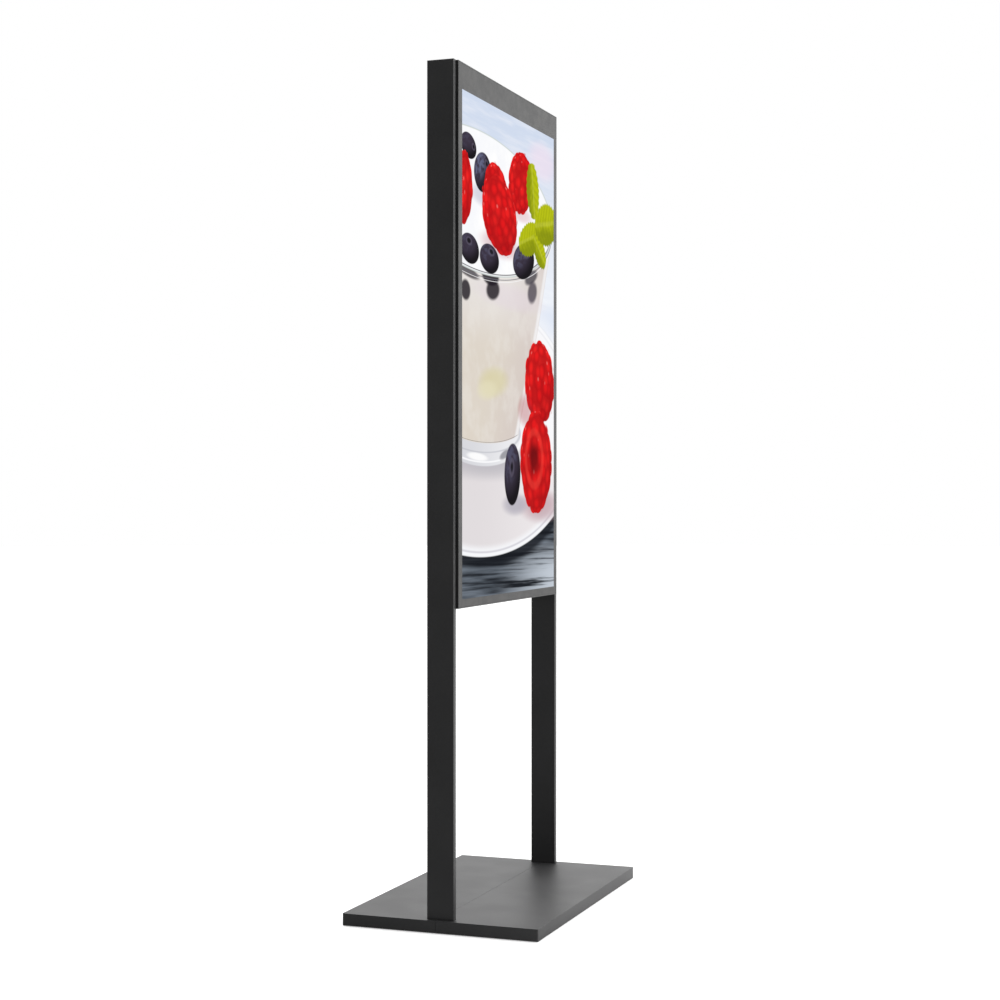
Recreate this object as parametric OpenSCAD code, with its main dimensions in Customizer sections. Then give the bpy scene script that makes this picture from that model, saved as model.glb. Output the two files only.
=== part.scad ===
// Free-standing touchscreen kiosk: a portrait display held between two flat
// posts that stand on a wide, low base. Units are millimetres, +Z is up,
// -Y is the side the visitor faces and +X is the visitor's right.
// The origin is the centre of the base, on the floor.

/* [Base] */
// Width of the base, along X
base_w = 700; // [560:5:900]
// Depth of the base, along Y
base_d = 440; // [340:5:600]
// Height of the base, floor to top sheet
base_h = 27; // [22:0.5:40]
// Thickness of the folded cover sheets
cover_t = 2; // [1.5:0.5:3]
// Thickness of the steel ballast plate
ballast_t = 12; // [8:1:15]
// Diameter of the rubber pads
pad_d = 40; // [25:1:60]
// Position of the seam between the two cover halves, along Y
seam_y = 6.5; // [-40:0.5:40]

/* [Posts] */
// Width of a post seen from the front, along X
post_t = 15; // [12:0.5:25]
// Depth of a post, along Y
post_d = 60; // [40:1:90]
// Distance from the base's short side to the post's outer face
post_inset = 11; // [0:0.5:60]
// Wall thickness of the post tube
post_wall = 3; // [2:0.5:4]

/* [Display] */
// Overall height, floor to the top of the display
total_h = 1828; // [1500:1:2100]
// Height of the display's lower edge above the floor
disp_z0 = 678; // [500:1:900]
// Width of the lit picture area
active_w = 604; // [480:0.5:700]
// Height of the lit picture area
active_h = 1073.8; // [850:0.1:1250]
// Dark border above the picture
border_top = 57; // [30:0.5:90]
// How far the front glass stands in front of the centre of the posts
front_y = 35; // [31:0.5:45]
// Thickness of the front glass
glass_t = 4; // [3:0.5:6]
// Gap between the display and each post
side_gap = 0.5; // [0.3:0.1:3]

/* [Service door] */
// Width of the service opening
door_w = 240; // [180:2:300]
// Lower edge of the service opening
door_z0 = 1000; // [950:5:1100]
// Height of the service opening
door_h = 300; // [240:5:340]
// How far the service door swings, for reference
door_swing = 110; // [60:5:120]

/* [Sockets and keys] */
// Height of the row of sockets and keys
io_z = 730; // [715:1:760]
// Centre of the power inlet, along X
inlet_x = -60; // [-100:1:-40]
// Centre of the mains switch, along X
switch_x = -15; // [-35:1:0]
// Centre of the network socket, along X
lan_x = 25; // [15:1:35]
// Centre of the two stacked bus sockets, along X
usb_x = 52; // [45:1:60]
// Centre of the first control key, along X
key_x0 = 105; // [95:1:120]
// Spacing of the control keys
key_pitch = 20; // [15:1:25]
// Angle of the rocker from its middle position
rocker_tilt = 10; // [6:1:12]

/* [Hidden] */
$fn = 48;
e = 0.01;

// Base levels
skirt_z = 1.5;
pad_h = 3;
ballast_z1 = pad_h + ballast_t;
seam_gap = 0.6;
foot_t = 8;
foot_z1 = ballast_z1 + foot_t;
foot_w = 59;
foot_d = 160;
boss_x = [[-310, 190], [-105, 190], [105, 190], [310, 190], [-200, 50], [200, 50]];
pad_xy = [[-265, -190], [0, -190], [265, -190], [-265, 190], [0, 190], [265, 190]];

// Posts
post_x1 = base_w / 2 - post_inset;
post_x0 = post_x1 - post_t;
post_xc = (post_x0 + post_x1) / 2;
cap_t = 2;
foot_x0 = post_x1 + 5 - foot_w;
foot_bolt = [[post_x0 - 24, -28], [post_x0 - 24, 28], [post_xc, -60], [post_xc, 60]];

// Display envelope
disp_x = post_x0 - side_gap;
rail_t = 2.3;
shelf_w = 14;
shelf_y = -front_y + glass_t + 1;
shelf_t = 2;
rear_y = 27;
flange_t = 1.8;
in_x = disp_x - rail_t;
in_z0 = disp_z0 + rail_t;
in_z1 = total_h - rail_t;
act_x = active_w / 2;
act_z1 = total_h - border_top;
act_z0 = act_z1 - active_h;

// Layers of the picture module, as Y of their front and back faces
print_y = -front_y + glass_t;
film_y = print_y + 0.1;
lcd_y0 = shelf_y + 0.2;
lcd_y1 = shelf_y + shelf_t;
hold_y1 = lcd_y1 + 1.5;
diff_y1 = hold_y1 + 2;
tray_x = disp_x - shelf_w - 0.3;
tray_z0 = act_z0 - 6.4;
tray_z1 = act_z1 + 8.2;
tray_y1 = -2;

// Bolts that hold the display to the posts
mount_y = 13;
mount_zc = [770, 1730];
mount_dz = 30;
mount_t = 3;

// Rear sheets
sheet_t = 1.5;
rear_x = disp_x - 0.3;
rear_y1 = rear_y + sheet_t;
door_z1 = door_z0 + door_h;
door_gap = 1;
door_y = rear_y + 0.3;
return_y = 19.6;
bar_in = 14;
bar_out = 15;

// Door hinges: axis position and leaf sizes
hinge_x = -door_w / 2 + door_gap / 2;
hinge_y = 32;
hinge_r = 3;
hinge_len = 40;
hinge_z = [door_z0 + 60, door_z0 + door_h - 60];
pin_d = 3;

// Cam lock
lock_x = 95;
lock_z = door_z0 + door_h / 2;
cam_len = 32;

// Screw positions on the rear flanges
side_z = [700, 800, 900, 992, 1007, 1150, 1293, 1308, 1440, 1570, 1700, 1806];
edge_x = [-240, -120, 0, 120, 240];
bar_x_cover = [-200, -60, 60, 200];
bar_x_panel = [160, 260];

// Screw positions on the backlight flange
tray_side_z = [740, 990, 1240, 1490, 1740];
tray_edge_x = [-220, 0, 220];

// Circuit boards: x0, x1, z0, z1
board_y = 3;
board_t = 1.6;
power_box = [-260, -70, 800, 940];
driver_box = [-110, 110, 1400, 1500];
touch_box = [130, 230, 850, 900];
boards = [power_box, driver_box, touch_box];

// Media player in the service bay
player = [-105, 60, 1120, 1270];
player_y1 = 17;

// ---------------------------------------------------------------- helpers

// Block between two opposite corners
module box(a, b) {
    translate(a) cube(b - a);
}

// Outline in X and Z, extruded from y0 to y1
module along_y(y0, y1) {
    translate([0, y1, 0]) rotate([90, 0, 0]) linear_extrude(y1 - y0) children();
}

// Outline in Y and Z, extruded from x0 to x1
module along_x(x0, x1) {
    translate([x0, 0, 0]) rotate([90, 0, 90]) linear_extrude(x1 - x0) children();
}

// Round rod along X or Y
module rod_x(x0, x1, y, z, d) {
    translate([x0, y, z]) rotate([0, 90, 0]) cylinder(h = x1 - x0, d = d);
}

module rod_y(x, y0, y1, z, d) {
    translate([x, y0, z]) rotate([-90, 0, 0]) cylinder(h = y1 - y0, d = d);
}

// Rectangle with round corners, centred
module rrect(w, h, r) {
    square([w - 2 * r, h], center = true);
    square([w, h - 2 * r], center = true);
    for (x = [-1, 1], y = [-1, 1])
        translate([x * (w / 2 - r), y * (h / 2 - r)]) circle(r);
}

// Rectangle between two corners
module rect(x0, x1, z0, z1) {
    translate([x0, z0]) square([x1 - x0, z1 - z0]);
}

// Rectangular ring of the given width inside an outline
module ring(x0, x1, z0, z1, w) {
    difference() {
        rect(x0, x1, z0, z1);
        rect(x0 + w, x1 - w, z0 + w, z1 - w);
    }
}

// Slot with round ends
module slot(l, h) {
    square([l - h, h], center = true);
    for (s = [-1, 1]) translate([s * (l - h) / 2, 0]) circle(d = h);
}

// Field of ventilation slots, centred
module slots(nx, nz, px, pz, l, h) {
    for (i = [0 : nx - 1], j = [0 : nz - 1])
        translate([(i - (nx - 1) / 2) * px, (j - (nz - 1) / 2) * pz]) slot(l, h);
}

// Hexagon across flats
module hexagon(af) {
    circle(d = af / cos(30), $fn = 6);
}

// ------------------------------------------------------------------- base

// One half of the folded cover: side is -1 for the front, +1 for the rear
module base_cover(side) {
    y_seam = seam_y + side * seam_gap / 2;
    y_out = side * base_d / 2;
    difference() {
        union() {
            intersection() {
                difference() {
                    translate([0, 0, skirt_z])
                        linear_extrude(base_h - skirt_z) rrect(base_w, base_d, 3);
                    linear_extrude(base_h - cover_t)
                        rrect(base_w - 2 * cover_t, base_d - 2 * cover_t, 1);
                }
                box([-base_w, min(y_seam, 2 * y_out), 0], [base_w, max(y_seam, 2 * y_out), base_h + 1]);
            }
            for (p = boss_x)
                translate([p[0], side * p[1], ballast_z1])
                    cylinder(h = base_h - cover_t - ballast_z1, d = 16);
            if (side < 0)
                box([-280, -10, base_h - 2 * cover_t], [280, 24, base_h - cover_t]);
        }
        for (s = [-1, 1])
            translate([s * post_xc, 0, base_h])
                cube([post_t + 0.8, post_d + 0.8, 4 * cover_t], center = true);
        for (p = boss_x)
            translate([p[0], side * p[1], 0]) cylinder(h = base_h - cover_t - 0.5, d = 6.2);
    }
}

module base_cover_front() {
    color("#3c3d3f") base_cover(-1);
}

module base_cover_rear() {
    color("#3c3d3f") base_cover(1);
}

module ballast_plate() {
    color("#555759") difference() {
        box([-base_w / 2 + 4, -base_d / 2 + 4, pad_h], [base_w / 2 - 4, base_d / 2 - 4, ballast_z1]);
        for (side = [-1, 1], p = boss_x)
            translate([p[0], side * p[1], 0]) {
                cylinder(h = ballast_z1 + 1, d = 6.6);
                cylinder(h = pad_h + 6.4, d = 11);
            }
        for (p = pad_xy)
            translate([p[0], p[1], 0]) cylinder(h = pad_h + 8, d = 8.2);
        for (s = [-1, 1], p = foot_bolt)
            translate([s * p[0], p[1], pad_h + 1]) cylinder(h = ballast_t, d = 10.2);
    }
}

module base_pads() {
    color("#1c1c1c") for (p = pad_xy)
        translate([p[0], p[1], 0]) {
            cylinder(h = pad_h, d1 = pad_d - 3, d2 = pad_d);
            cylinder(h = pad_h + 7, d = 8);
        }
}

module cover_screws() {
    color("#8b8d90") for (side = [-1, 1], p = boss_x)
        translate([p[0], side * p[1], pad_h + 0.4]) difference() {
            union() {
                cylinder(h = 6, d = 10);
                cylinder(h = 19, d = 6);
            }
            translate([0, 0, -e]) linear_extrude(3) hexagon(5);
        }
}

module post_feet() {
    color("#3a3b3d") for (s = [-1, 1]) difference() {
        translate([s * (foot_x0 + foot_w / 2), 0, ballast_z1])
            linear_extrude(foot_t) rrect(foot_w, foot_d, 4);
        for (p = foot_bolt)
            translate([s * p[0], p[1], 0]) {
                cylinder(h = foot_z1 + 1, d = 10.4);
                translate([0, 0, foot_z1 - 5.2]) cylinder(h = 5.2 + e, d1 = 10.4, d2 = 20.8);
            }
    }
}

module foot_bolts() {
    color("#8b8d90") for (s = [-1, 1], p = foot_bolt)
        translate([s * p[0], p[1], 0]) difference() {
            union() {
                translate([0, 0, pad_h + 2]) cylinder(h = foot_z1 - pad_h - 2, d = 10);
                translate([0, 0, foot_z1 - 5]) cylinder(h = 5, d1 = 10, d2 = 20);
            }
            translate([0, 0, foot_z1 - 3.5]) linear_extrude(4) hexagon(6);
        }
}

// ------------------------------------------------------------------ posts

// Flat tube, with holes in its inner wall for the rivet nuts
module post(s) {
    color("#2e2f31") difference() {
        translate([s * post_xc, 0, foot_z1]) linear_extrude(total_h - cap_t - foot_z1) difference() {
            rrect(post_t, post_d, 1.5);
            square([post_t - 2 * post_wall, post_d - 2 * post_wall], center = true);
        }
        for (zc = mount_zc, d = [-1, 1])
            rod_x(min(s * (post_x0 - 1), s * post_xc), max(s * (post_x0 - 1), s * post_xc),
                mount_y, zc + d * mount_dz, 11);
    }
}

module post_left() {
    post(-1);
}

module post_right() {
    post(1);
}

module post_caps() {
    color("#262728") for (s = [-1, 1])
        translate([s * post_xc, 0, 0]) {
            translate([0, 0, total_h - cap_t]) linear_extrude(cap_t) rrect(post_t, post_d, 1.5);
            translate([0, 0, total_h - cap_t - 12]) linear_extrude(12) difference() {
                square([post_t - 2 * post_wall - 0.2, post_d - 2 * post_wall - 0.2], center = true);
                square([post_t - 2 * post_wall - 4, post_d - 2 * post_wall - 4], center = true);
            }
        }
}

// Places children, drawn along +X from the display's side face, at each joint
module at_mounts() {
    for (s = [0, 1], zc = mount_zc, d = [-1, 1])
        mirror([s, 0, 0]) translate([disp_x, mount_y, zc + d * mount_dz]) children();
}

module rivet_nuts() {
    color("#a8a9ab") at_mounts() rotate([0, 90, 0]) difference() {
        union() {
            cylinder(h = side_gap, d = 15);
            cylinder(h = 11.5, d = 10.9);
            translate([0, 0, side_gap + post_wall]) cylinder(h = 2.5, d = 13);
        }
        translate([0, 0, -1]) cylinder(h = 14, d = 8.2);
    }
}

module mount_plates() {
    color("#a8a9ab") for (s = [0, 1], zc = mount_zc)
        mirror([s, 0, 0]) difference() {
            box([in_x - mount_t, 2, zc - 50], [in_x, 24, zc + 50]);
            for (d = [-1, 1])
                rod_x(in_x - mount_t - 1, in_x + 1, mount_y, zc + d * mount_dz, 8.4);
        }
}

module mount_bolts() {
    color("#8b8d90") at_mounts() translate([-rail_t - mount_t, 0, 0]) rotate([0, 90, 0]) difference() {
        union() {
            translate([0, 0, -4.5]) cylinder(h = 4.5, d1 = 9, d2 = 14);
            cylinder(h = 15, d = 8);
        }
        translate([0, 0, -4.5 - e]) linear_extrude(2.5) hexagon(5);
    }
}

// ---------------------------------------------------------- display frame

// Section of a frame rail: u runs inward from the outer face, v is Y
module rail_section() {
    rect(0, rail_t, -front_y, rear_y);
    rect(0, shelf_w, shelf_y, shelf_y + shelf_t);
    rect(0, shelf_w, rear_y - flange_t, rear_y);
}

// Upright rail; the ends leave room for the top and bottom rails
module rail_side(s) {
    color("#303133") mirror([s < 0 ? 1 : 0, 0, 0]) difference() {
        translate([disp_x, 0, disp_z0]) mirror([1, 0, 0])
            linear_extrude(total_h - disp_z0) rail_section();
        for (z = [disp_z0 - 1, in_z1])
            box([disp_x - shelf_w - 1, -front_y - 1, z], [in_x, rear_y + 1, z + rail_t + 1]);
        for (zc = mount_zc, d = [-1, 1])
            rod_x(in_x - 1, disp_x + 1, mount_y, zc + d * mount_dz, 8.4);
        for (z = side_z) rod_y(disp_x - 8.5, rear_y - 5, rear_y + 1, z, 4.2);
        for (z = tray_side_z) rod_y(tray_x + 4.5, shelf_y - 1, shelf_y + 4, z, 3.2);
    }
}

module rail_left() {
    rail_side(-1);
}

module rail_right() {
    rail_side(1);
}

// Lying rail between the upright ones: z is its outer face, dir points inward
module rail_level(z, dir) {
    color("#303133") difference() {
        translate([0, 0, z]) mirror([0, 0, dir < 0 ? 1 : 0]) translate([-in_x, 0, 0])
            rotate([90, 0, 90]) linear_extrude(2 * in_x) {
                rect(-front_y, rear_y, 0, rail_t);
                rect(shelf_y, shelf_y + shelf_t, 0, shelf_w);
                rect(rear_y - flange_t, rear_y, 0, shelf_w);
            }
        for (s = [-1, 1])
            translate([s * (disp_x - shelf_w / 2 + e), 0, z + dir * (rail_t + shelf_w / 2 + 1)])
                cube([shelf_w + 2 * e, 200, shelf_w + 2], center = true);
        for (x = edge_x) rod_y(x, rear_y - 5, rear_y + 1, z + dir * 8.5, 4.2);
        for (x = tray_edge_x) rod_y(x, shelf_y - 1, shelf_y + 4, z + dir * 9, 3.2);
    }
}

module rail_top() {
    rail_level(total_h, -1);
}

module rail_bottom() {
    rail_level(disp_z0, 1);
}

// Angles that join the rails at the corners
module corner_brackets() {
    color("#a8a9ab") for (sx = [0, 1], sz = [0, 1])
        translate([0, 0, sz * (in_z0 + in_z1)]) mirror([0, 0, sz]) mirror([sx, 0, 0]) {
            box([in_x - 3, 2, in_z0], [in_x, 22, in_z0 + 35]);
            box([in_x - 35, 2, in_z0], [in_x, 22, in_z0 + 3]);
        }
}

// --------------------------------------------------------- picture module

module front_glass() {
    color("#16181a") along_y(-front_y, print_y)
        rect(-in_x + 0.3, in_x - 0.3, in_z0 + 0.3, in_z1 - 0.3);
}

// Opaque printed border behind the glass
module border_print() {
    color("#1b1c1e") along_y(print_y, film_y) difference() {
        rect(-in_x + 1.7, in_x - 1.7, in_z0 + 1.7, in_z1 - 1.7);
        rect(-act_x - 1, act_x + 1, act_z0 - 1, act_z1 + 1);
    }
}

module glass_tape() {
    color("#101010") along_y(film_y, shelf_y)
        ring(-in_x + 1.7, in_x - 1.7, in_z0 + 1.7, in_z1 - 1.7, shelf_w - rail_t - 2.7);
}

module touch_film() {
    color("#9fb3c0") along_y(film_y, film_y + 0.3)
        rect(-act_x - 5, act_x + 5, act_z0 - 4, act_z1 + 5);
}

module lcd_panel() {
    color("#c9d6e6") along_y(lcd_y0, lcd_y1)
        rect(-act_x - 6, act_x + 6, act_z0 - 4.6, act_z1 + 6);
}

module panel_holder() {
    color("#1a1a1a") along_y(lcd_y1, hold_y1)
        ring(-act_x - 6, act_x + 6, act_z0 - 5, act_z1 + 6.5, 4);
}

module diffuser_plate() {
    color("#f2f4f5") along_y(hold_y1, diff_y1)
        rect(-act_x - 5.5, act_x + 5.5, act_z0 - 4.5, act_z1 + 6);
}

// Steel pan behind the picture, with a flange screwed to the rail shelves
module backlight_tray() {
    color("#b4b7ba") difference() {
        union() {
            along_y(lcd_y1, tray_y1) rect(-tray_x, tray_x, tray_z0, tray_z1);
            along_y(lcd_y1, lcd_y1 + 1)
                rect(-in_x + 3.2, in_x - 3.2, in_z0 + 2.2, in_z1 - 3.2);
        }
        along_y(lcd_y1 - 1, diff_y1) rect(-tray_x + 1, tray_x - 1, tray_z0 + 1, tray_z1 - 1);
        along_y(diff_y1 - 1, tray_y1 - 1) rect(-tray_x + 4, tray_x - 4, tray_z0 + 4, tray_z1 - 4);
        along_y(diff_y1 + 1, tray_y1 - 1) rect(-tray_x + 1, tray_x - 1, tray_z0 + 1, tray_z1 - 1);
        for (s = [-1, 1], z = tray_side_z)
            rod_y(s * (tray_x + 4.5), shelf_y - 1, shelf_y + 4, z, 3.2);
        for (z = [disp_z0 + 9, total_h - 9], x = tray_edge_x)
            rod_y(x, shelf_y - 1, shelf_y + 4, z, 3.2);
    }
}

// Upright strips of lamps with their spreading lenses
module led_bars() {
    n = 10;
    color("#f4f4ea") for (i = [-2.5 : 1 : 2.5]) {
        box([i * 100 - 7, tray_y1 - 2.6, act_z0 + 15], [i * 100 + 7, tray_y1 - 1, act_z1 - 15]);
        for (j = [0 : n - 1])
            rod_y(i * 100, tray_y1 - 7, tray_y1 - 2.6, act_z0 + 52 + j * (active_h - 104) / (n - 1), 13);
    }
}

// Screws of the backlight flange, and of the circuit boards
module small_screw(y) {
    translate([0, y, 0]) rotate([-90, 0, 0]) {
        cylinder(h = 2, d1 = 6, d2 = 4.6);
        translate([0, 0, -2.7]) cylinder(h = 2.7, d = 3);
    }
}

module at_board_corners() {
    for (b = boards, x = [b[0] + 5, b[1] - 5], z = [b[2] + 5, b[3] - 5])
        translate([x, 0, z]) children();
}

module small_screws() {
    color("#8b8d90") {
        for (s = [-1, 1], z = tray_side_z)
            translate([s * (tray_x + 4.5), 0, z]) small_screw(lcd_y1 + 1);
        for (z = [disp_z0 + 9, total_h - 9], x = tray_edge_x)
            translate([x, 0, z]) small_screw(lcd_y1 + 1);
        at_board_corners() small_screw(board_y + board_t);
    }
}

// ------------------------------------------------------------------- rear

// Crossbar behind a seam of the rear sheets; dir points away from the door
module crossbar(z, dir) {
    zi = z - dir * bar_in;
    zo = z + dir * bar_out;
    difference() {
        union() {
            box([-disp_x + shelf_w + 0.1, rear_y - flange_t, min(zi, zo)],
                [disp_x - shelf_w - 0.1, rear_y, max(zi, zo)]);
            box([-disp_x + shelf_w + 0.1, 12, min(zo, zo - dir * 1.8)],
                [disp_x - shelf_w - 0.1, rear_y - flange_t, max(zo, zo - dir * 1.8)]);
            for (s = [-1, 1])
                translate([s * (disp_x - shelf_w / 2 - 8), rear_y - flange_t - 1, z + dir * 0.5])
                    cube([24, 2, 29], center = true);
        }
        for (s = [-1, 1]) {
            for (d = [8, -7]) rod_y(s * (disp_x - 8.5), 10, rear_y + 1, z + dir * d, 4.2);
            for (x = bar_x_panel) rod_y(s * x, 10, rear_y + 1, z - dir * 7, 4.2);
        }
        for (x = bar_x_cover) rod_y(x, 10, rear_y + 1, z + dir * 8, 4.2);
    }
}

module crossbars() {
    color("#a8a9ab") {
        crossbar(door_z0, -1);
        crossbar(door_z1, 1);
    }
}

module rear_cover_upper() {
    color("#333436") along_y(rear_y, rear_y1) difference() {
        rect(-rear_x, rear_x, door_z1 + 0.3, total_h - 0.3);
        for (s = [-1, 1], z = side_z) translate([s * (disp_x - 8.5), z]) circle(d = 4.4);
        for (x = edge_x) translate([x, total_h - 8.5]) circle(d = 4.4);
        for (x = bar_x_cover) translate([x, door_z1 + 8]) circle(d = 4.4);
        translate([0, 1655]) slots(6, 12, 76, 12, 56, 3.6);
    }
}

module rear_cover_lower() {
    color("#333436") along_y(rear_y, rear_y1) difference() {
        rect(-rear_x, rear_x, disp_z0 + 0.3, door_z0 - 0.3);
        for (s = [-1, 1], z = side_z) translate([s * (disp_x - 8.5), z]) circle(d = 4.4);
        for (x = edge_x) translate([x, disp_z0 + 8.5]) circle(d = 4.4);
        for (x = bar_x_cover) translate([x, door_z0 - 8]) circle(d = 4.4);
        for (s = [-1, 1]) {
            translate([s * 165, 880]) slots(3, 8, 62, 12, 46, 3.6);
            translate([s * 245, 770]) slots(1, 6, 60, 7, 80, 3.6);
        }
        translate([inlet_x, io_z]) square([27.8, 20.2], center = true);
        translate([switch_x, io_z]) square([13.2, 19.2], center = true);
        translate([lan_x, io_z]) square([16.4, 13.9], center = true);
        translate([usb_x, io_z]) square([14.4, 16.4], center = true);
        for (i = [0 : 3]) translate([key_x0 + i * key_pitch, io_z]) circle(d = 8.6);
    }
}

// Fixed sheet beside the door, with a folded edge at the opening
module side_panel(s) {
    color("#333436") mirror([s < 0 ? 1 : 0, 0, 0]) {
        difference() {
            union() {
                along_y(rear_y, rear_y1) rect(door_w / 2, rear_x, door_z0 + 0.3, door_z1 - 0.3);
                along_y(return_y, rear_y)
                    rect(door_w / 2, door_w / 2 + sheet_t, door_z0 + bar_in + 0.5, door_z1 - bar_in - 0.5);
            }
            for (z = side_z) rod_y(disp_x - 8.5, rear_y - 1, rear_y1 + 1, z, 4.4);
            for (x = bar_x_panel, z = [door_z0 + 7, door_z1 - 7])
                rod_y(x, rear_y - 1, rear_y1 + 1, z, 4.4);
            if (s < 0)
                for (z = hinge_z, d = [-12, 12]) rod_y(-hinge_x + 14, rear_y - 1, rear_y1 + 1, z + d, 3.1);
        }
    }
}

module side_panel_left() {
    side_panel(-1);
}

module side_panel_right() {
    side_panel(1);
}

module rear_screw() {
    rotate([-90, 0, 0]) difference() {
        union() {
            cylinder(h = 1.2, d = 8);
            translate([0, 0, 1.2]) cylinder(h = 1, d1 = 8, d2 = 5.5);
            translate([0, 0, -8]) cylinder(h = 8, d = 4);
        }
        translate([0, 0, 0.7]) linear_extrude(2) hexagon(2.5);
    }
}

module rear_screws() {
    color("#8b8d90") translate([0, rear_y1, 0]) {
        for (s = [-1, 1], z = side_z) translate([s * (disp_x - 8.5), 0, z]) rear_screw();
        for (x = edge_x, z = [disp_z0 + 8.5, total_h - 8.5]) translate([x, 0, z]) rear_screw();
        for (x = bar_x_cover, z = [door_z0 - 8, door_z1 + 8]) translate([x, 0, z]) rear_screw();
        for (s = [-1, 1], x = bar_x_panel, z = [door_z0 + 7, door_z1 - 7])
            translate([s * x, 0, z]) rear_screw();
    }
}

// ------------------------------------------------------------ electronics

// Bare board with its corner holes; parts are added as children on its rear face
module board(b) {
    difference() {
        box([b[0], board_y, b[2]], [b[1], board_y + board_t, b[3]]);
        for (x = [b[0] + 5, b[1] - 5], z = [b[2] + 5, b[3] - 5])
            rod_y(x, board_y - 1, board_y + board_t + 1, z, 3.2);
    }
    translate([b[0], board_y + board_t, b[2]]) children();
}

// Block on a board: position and size in the board's plane, and height
module part(x, z, w, l, h) {
    translate([x, 0, z]) cube([w, h, l]);
}

module power_board() {
    color("#8a7a4a") board(power_box) {
        part(70, 60, 44, 38, 16);
        part(20, 30, 30, 26, 14);
        part(12, 80, 6, 46, 17);
        part(136, 40, 6, 60, 17);
        part(150, 110, 30, 10, 8);
        part(90, 14, 24, 8, 8);
        part(12, 10, 22, 10, 9);
        for (p = [[54, 30], [54, 108], [76, 36], [160, 30], [160, 55], [160, 80], [100, 118]])
            rod_y(p[0], 0, 18, p[1], 16);
    }
}

module driver_board() {
    color("#1f6b45") board(driver_box) {
        part(40, 40, 24, 24, 2);
        part(90, 44, 16, 16, 1.6);
        part(140, 42, 20, 14, 1.6);
        part(180, 30, 12, 30, 6);
        part(30, 88, 60, 7, 3);
        part(130, 88, 60, 7, 3);
        part(80, 6, 40, 7, 5);
        part(4, 40, 8, 20, 6);
        for (x = [60, 74, 160]) rod_y(x, 0, 7, 22, 8);
    }
}

module touch_controller() {
    color("#1f6b45") board(touch_box) {
        part(40, 18, 14, 14, 1.6);
        part(14, 38, 40, 6, 3);
        part(64, 38, 20, 6, 4);
        part(78, 12, 10, 16, 5);
    }
}

module standoffs() {
    color("#c6a85a") at_board_corners() rotate([-90, 0, 0]) difference() {
        translate([0, 0, tray_y1]) linear_extrude(board_y - tray_y1) difference() {
            hexagon(6);
            circle(d = 3.2);
        }
    }
}

// Flat box loudspeakers facing the slots in the lower rear sheet
module speakers() {
    color("#202122") for (s = [-1, 1]) translate([s * 245, 0, 770]) difference() {
        union() {
            along_y(tray_y1, 22) rrect(96, 46, 5);
            along_y(tray_y1, 2) rrect(116, 20, 4);
        }
        rod_y(-22, 18, 23, 0, 36);
        rod_y(22, 18, 23, 0, 36);
        for (x = [-53, 53]) rod_y(x, -5, 5, 0, 4);
    }
}

// Direction of a vector
function unit(v) = v / norm(v);

// Route with its corners rounded off at radius r
function rounded(p, r) = [
    for (i = [0 : len(p) - 1])
        if (i == 0 || i == len(p) - 1) p[i]
        else
            let (a = min(r, norm(p[i] - p[i - 1]) / 2.1), b = min(r, norm(p[i + 1] - p[i]) / 2.1),
                u = p[i] + a * unit(p[i - 1] - p[i]), v = p[i] + b * unit(p[i + 1] - p[i]))
            for (t = [0 : 0.25 : 1]) (1 - t) * (1 - t) * u + 2 * t * (1 - t) * p[i] + t * t * v
];

// Tangent at each point of a route
function tangent(p, i) = unit(p[min(i + 1, len(p) - 1)] - p[max(i - 1, 0)]);

// Sideways direction carried along the route without twisting
function side_dirs(p, i, u) =
    let (t = tangent(p, i), w = unit(u - (u * t) * t))
    i == len(p) - 1 ? [w] : concat([w], side_dirs(p, i + 1, w));

// Wire along a route, as one closed tube with n sides
module lead(route, d, n = 10) {
    p = rounded(route, 9);
    m = len(p);
    w = side_dirs(p, 0, cross(tangent(p, 0), [0.3, 0.5, 0.8]));
    rings = [
        for (i = [0 : m - 1], k = [0 : n - 1])
            p[i] + d / 2 * (cos(360 * k / n) * w[i] + sin(360 * k / n) * cross(tangent(p, i), w[i]))
    ];
    walls = [
        for (i = [0 : m - 2], k = [0 : n - 1])
            [i * n + k, (i + 1) * n + k, (i + 1) * n + (k + 1) % n, i * n + (k + 1) % n]
    ];
    ends = [[for (k = [0 : n - 1]) k], [for (k = [n - 1 : -1 : 0]) (m - 1) * n + k]];
    polyhedron(rings, concat(walls, ends), convexity = 6);
}

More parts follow.
